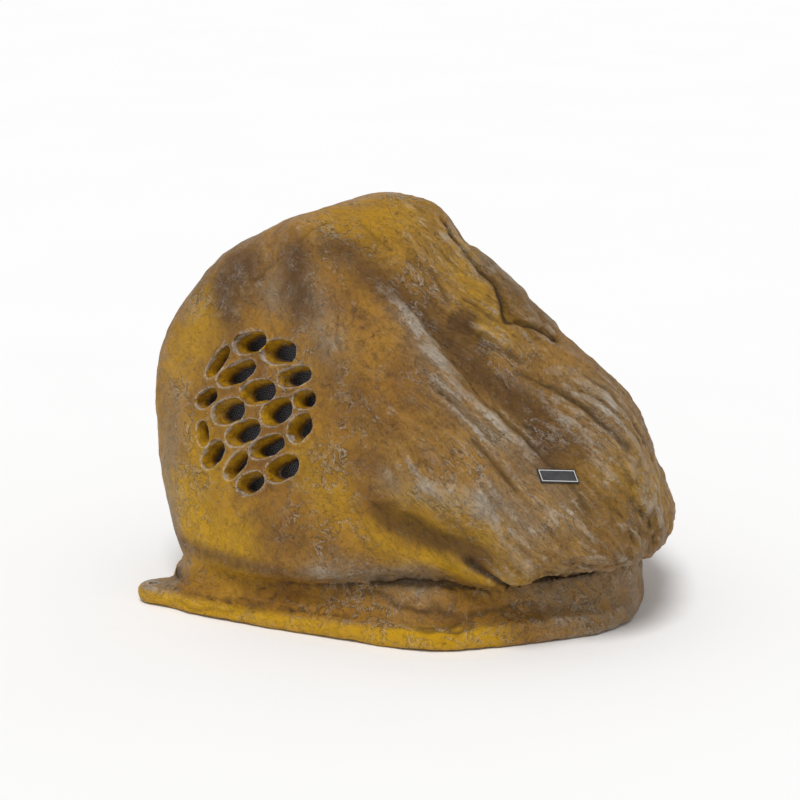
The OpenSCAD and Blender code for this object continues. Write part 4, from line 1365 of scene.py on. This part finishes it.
@dataclass
class BadgePlate:
    """The bare black plate on the stone, with a thin pale line near its edge."""

    bevel: float = 0.5
    line_inset: float = 0.9
    line_w: float = 0.5
    line_h: float = 0.12
    level: float = 9
    share_l: float = 0.88
    shift: tuple[float, float] = (7, -2)

    def corners(self, node: Object) -> tuple[Rows, Rows]:
        """The plate's lower and upper corners, read off its CAD solid.

        Args:
            node: The CAD solid of the plate.

        Returns:
            Two rows of four corners in millimetres, anticlockwise seen from outside.
        """
        spots = np.unique(np.round(read_rows(node.data) / MM, 4), axis=0)
        middle = spots.mean(axis=0)
        _, _, axes = np.linalg.svd(spots - middle)
        out = axes[2] * np.sign(axes[2][:2] @ middle[:2])
        height = (spots - middle) @ out
        side, rise = axes[0], np.cross(out, axes[0])
        c, s = math.cos(math.radians(self.level)), math.sin(math.radians(self.level))
        sides = []
        for part in (spots[height < 0], spots[height > 0]):
            offset = part - middle
            across, up = offset @ side, offset @ rise
            order = np.argsort(np.arctan2(up, across))
            rest = offset - across[:, None] * side - up[:, None] * rise
            across = across * self.share_l
            turned = (across * c - up * s)[:, None] * side + (across * s + up * c)[:, None] * rise
            sides.append((middle + rest + turned)[order] + self.moved(out))
        return sides[0], sides[1]

    def moved(self, out: Rows) -> Rows:
        """How far the plate is moved along the stone, to the right and up."""
        right = unit_rows(np.cross((0, 0, 1), out))
        return self.shift[0] * right + self.shift[1] * np.cross(out, right)

    @staticmethod
    def inset(ring: Rows, amount: float) -> Rows:
        """A ring of four corners drawn in by that many millimetres on every side."""
        before = unit_rows(np.roll(ring, 1, axis=0) - ring)
        after = unit_rows(np.roll(ring, -1, axis=0) - ring)
        slant = np.linalg.norm(np.cross(before, after), axis=1, keepdims=True)
        return ring + (before + after) * amount / slant

    def build(self, node: Object) -> Object:
        """Builds the plate and its line, and marks the line for the finish."""
        low, high = self.corners(node)
        up = unit_rows((high - low).mean(axis=0))
        plate = ring_stack([low, high - up * self.bevel, self.inset(high, self.bevel)])
        outer = self.inset(high, self.line_inset)
        inner = self.inset(high, self.line_inset + self.line_w)
        rings = [outer - up * 0.3, outer + up * self.line_h, inner + up * self.line_h, inner - up * 0.3]
        square = ((0, 0), (0, 1), (1, 1), (1, 0))
        faces = [tuple((j + row) % 4 * 4 + (k + step) % 4 for row, step in square)
                 for j in range(4) for k in range(4)]
        obj = object_from("badge_bare", plate.add(Shape(np.vstack(rings), faces)), Vector())
        trim = np.zeros(len(obj.data.vertices))
        trim[len(plate.points):] = 1
        store(obj.data, "trim", trim)
        return obj

    def dress(self, obj: Object) -> None:
        """Gives the plate its finish and puts it in place of the CAD solid."""
        obj.data.materials.append(FINISHES["badge_black"].material())
        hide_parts("badge_plate")
        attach(obj, BODY)


def dress_cad(nodes: dict[str, Object]) -> None:
    """Swaps the plain material of every CAD node that stays for the finish of its slot."""
    made: dict[str, Material] = {}
    for name, obj in nodes.items():
        for slot in obj.material_slots:
            key = slot.material.name.split(".")[0] if slot.material else "block_plastic"
            if key not in FINISHES:
                LOG.warning("%s has the slot %s, which has no finish", name, key)
                continue
            if key not in made:
                made[key] = FINISHES[key].material()
            slot.material = made[key]


@dataclass
class Studio:
    """Pale floor, soft light and the camera at the photo's angle."""

    form: StoneForm
    origin: Vector
    azimuth: float = 38
    elevation: float = 15
    distance: float = 1900
    raise_view: float = 25.5
    lens: float = 100.6
    sensor: float = 36
    sky: float = 0.5
    key: float = 1.85
    key_angle: float = 22
    key_from: tuple[float, float, float] = (0.25, -0.55, 1.1)
    floor_r: float = 9e3
    floor_gap: float = 0.2

    def camera(self) -> None:
        """Sets the camera where the photo was taken from."""
        a, e = math.radians(self.azimuth), math.radians(self.elevation)
        right = Vector((math.cos(a), math.sin(a), 0))
        along = Vector((-math.sin(a) * math.cos(e), math.cos(a) * math.cos(e), -math.sin(e)))
        up = right.cross(along)
        place = self.origin + Vector((0, 0, self.form.core_z)) - along * self.distance
        place = place + up * self.raise_view
        data = bpy.data.cameras.new("view")
        data.lens, data.sensor_width = self.lens, self.sensor
        camera = bpy.data.objects.new("view", data)
        turn = Matrix((right, up, -along)).transposed().to_4x4()
        camera.matrix_world = Matrix.Translation(place * MM) @ turn
        bpy.context.scene.collection.objects.link(camera)
        bpy.context.scene.camera = camera

    def floor(self) -> None:
        """Lays a wide pale floor under the lip."""
        corners = np.array([(-1, -1, 0), (1, -1, 0), (1, 1, 0), (-1, 1, 0)]) * self.floor_r
        obj = object_from("floor", Shape(corners, [(0, 1, 2, 3)]), Vector((0, 0, -self.floor_gap)))
        bench = NodeBench("studio_floor")
        colour = bench.paint(bench.noise(3, 2), (250, 250, 250), (253, 253, 253))
        obj.data.materials.append(bench.finished(Base_Color=colour, Roughness=0.9, Specular_IOR_Level=0.0))

    def lights(self) -> None:
        """A white surround and one broad soft lamp from the upper left."""
        world = bpy.data.worlds.new("surround")
        world.use_nodes = True
        bench = Bench(world.node_tree)
        path = bench.node("ShaderNodeLightPath")
        seen = Value(bench, path.outputs["Is Camera Ray"])
        seen = seen | path.outputs["Is Glossy Ray"] | path.outputs["Is Transmission Ray"]
        strength = bench.value("ShaderNodeMapRange", in0=seen, in3=self.sky, in4=1.0)
        back = world.node_tree.nodes["Background"]
        bench.feed(back.inputs["Color"], (1, 1, 1, 1))
        bench.feed(back.inputs["Strength"], strength)
        bpy.context.scene.world = world
        data = bpy.data.lights.new("key", "SUN")
        data.energy, data.angle = self.key, math.radians(self.key_angle)
        lamp = bpy.data.objects.new("key", data)
        lamp.matrix_world = Vector(self.key_from).to_track_quat("Z", "Y").to_matrix().to_4x4()
        bpy.context.scene.collection.objects.link(lamp)

    def build(self) -> None:
        """Makes the whole studio."""
        self.camera()
        self.floor()
        self.lights()
        bpy.context.scene.view_settings.view_transform = "Standard"


def find_origin(form: StoneForm, guard_depth: float) -> Vector:
    """Where the rock's middle line stands in the frame in millimetres, read off the guard's CAD disc."""
    low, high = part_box("speaker_mesh")
    middle = (low + high) / 2 / MM
    own = FacePlace(form).matrix() @ Vector((0, 0, -guard_depth))
    return Vector((middle.x - own.x, middle.y - own.y, 0))


def main() -> None:
    """Builds the garden speaker's pieces in order and reports each."""
    logging.basicConfig(level=logging.INFO, format="%(message)s")
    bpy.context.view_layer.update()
    noise.seed_set(NOISE_SEED)
    form = StoneForm()
    guard = SpeakerGuard(FacePlace(form), Vector())
    origin = find_origin(form, guard.seat + guard.thickness / 2)
    guard.origin = origin
    Studio(form, origin).build()

    housing = StoneHousing(form, origin, CellField(FacePlace(form)))
    stone = housing.build()
    housing.dress(stone)
    report(stone)

    sheet = guard.build()
    guard.dress(sheet)
    report(sheet)

    plate = BadgePlate()
    badge = plate.build(frame["nodes"]["badge_plate"])
    plate.dress(badge)
    report(badge)

    replaced = {"rock_shell", "speaker_mesh", "badge_plate"}
    kept = {name: obj for name, obj in frame["nodes"].items() if name not in replaced}
    dress_cad(kept)
    LOG.info("%d CAD nodes dressed", len(kept))


def report(obj: Object) -> None:
    """Logs a piece's name and how many triangles it has."""
    triangles = sum(len(p.vertices) - 2 for p in obj.data.polygons)
    LOG.info("%s: %d triangles", obj.name, triangles)


if __name__ == "__main__":
    main()
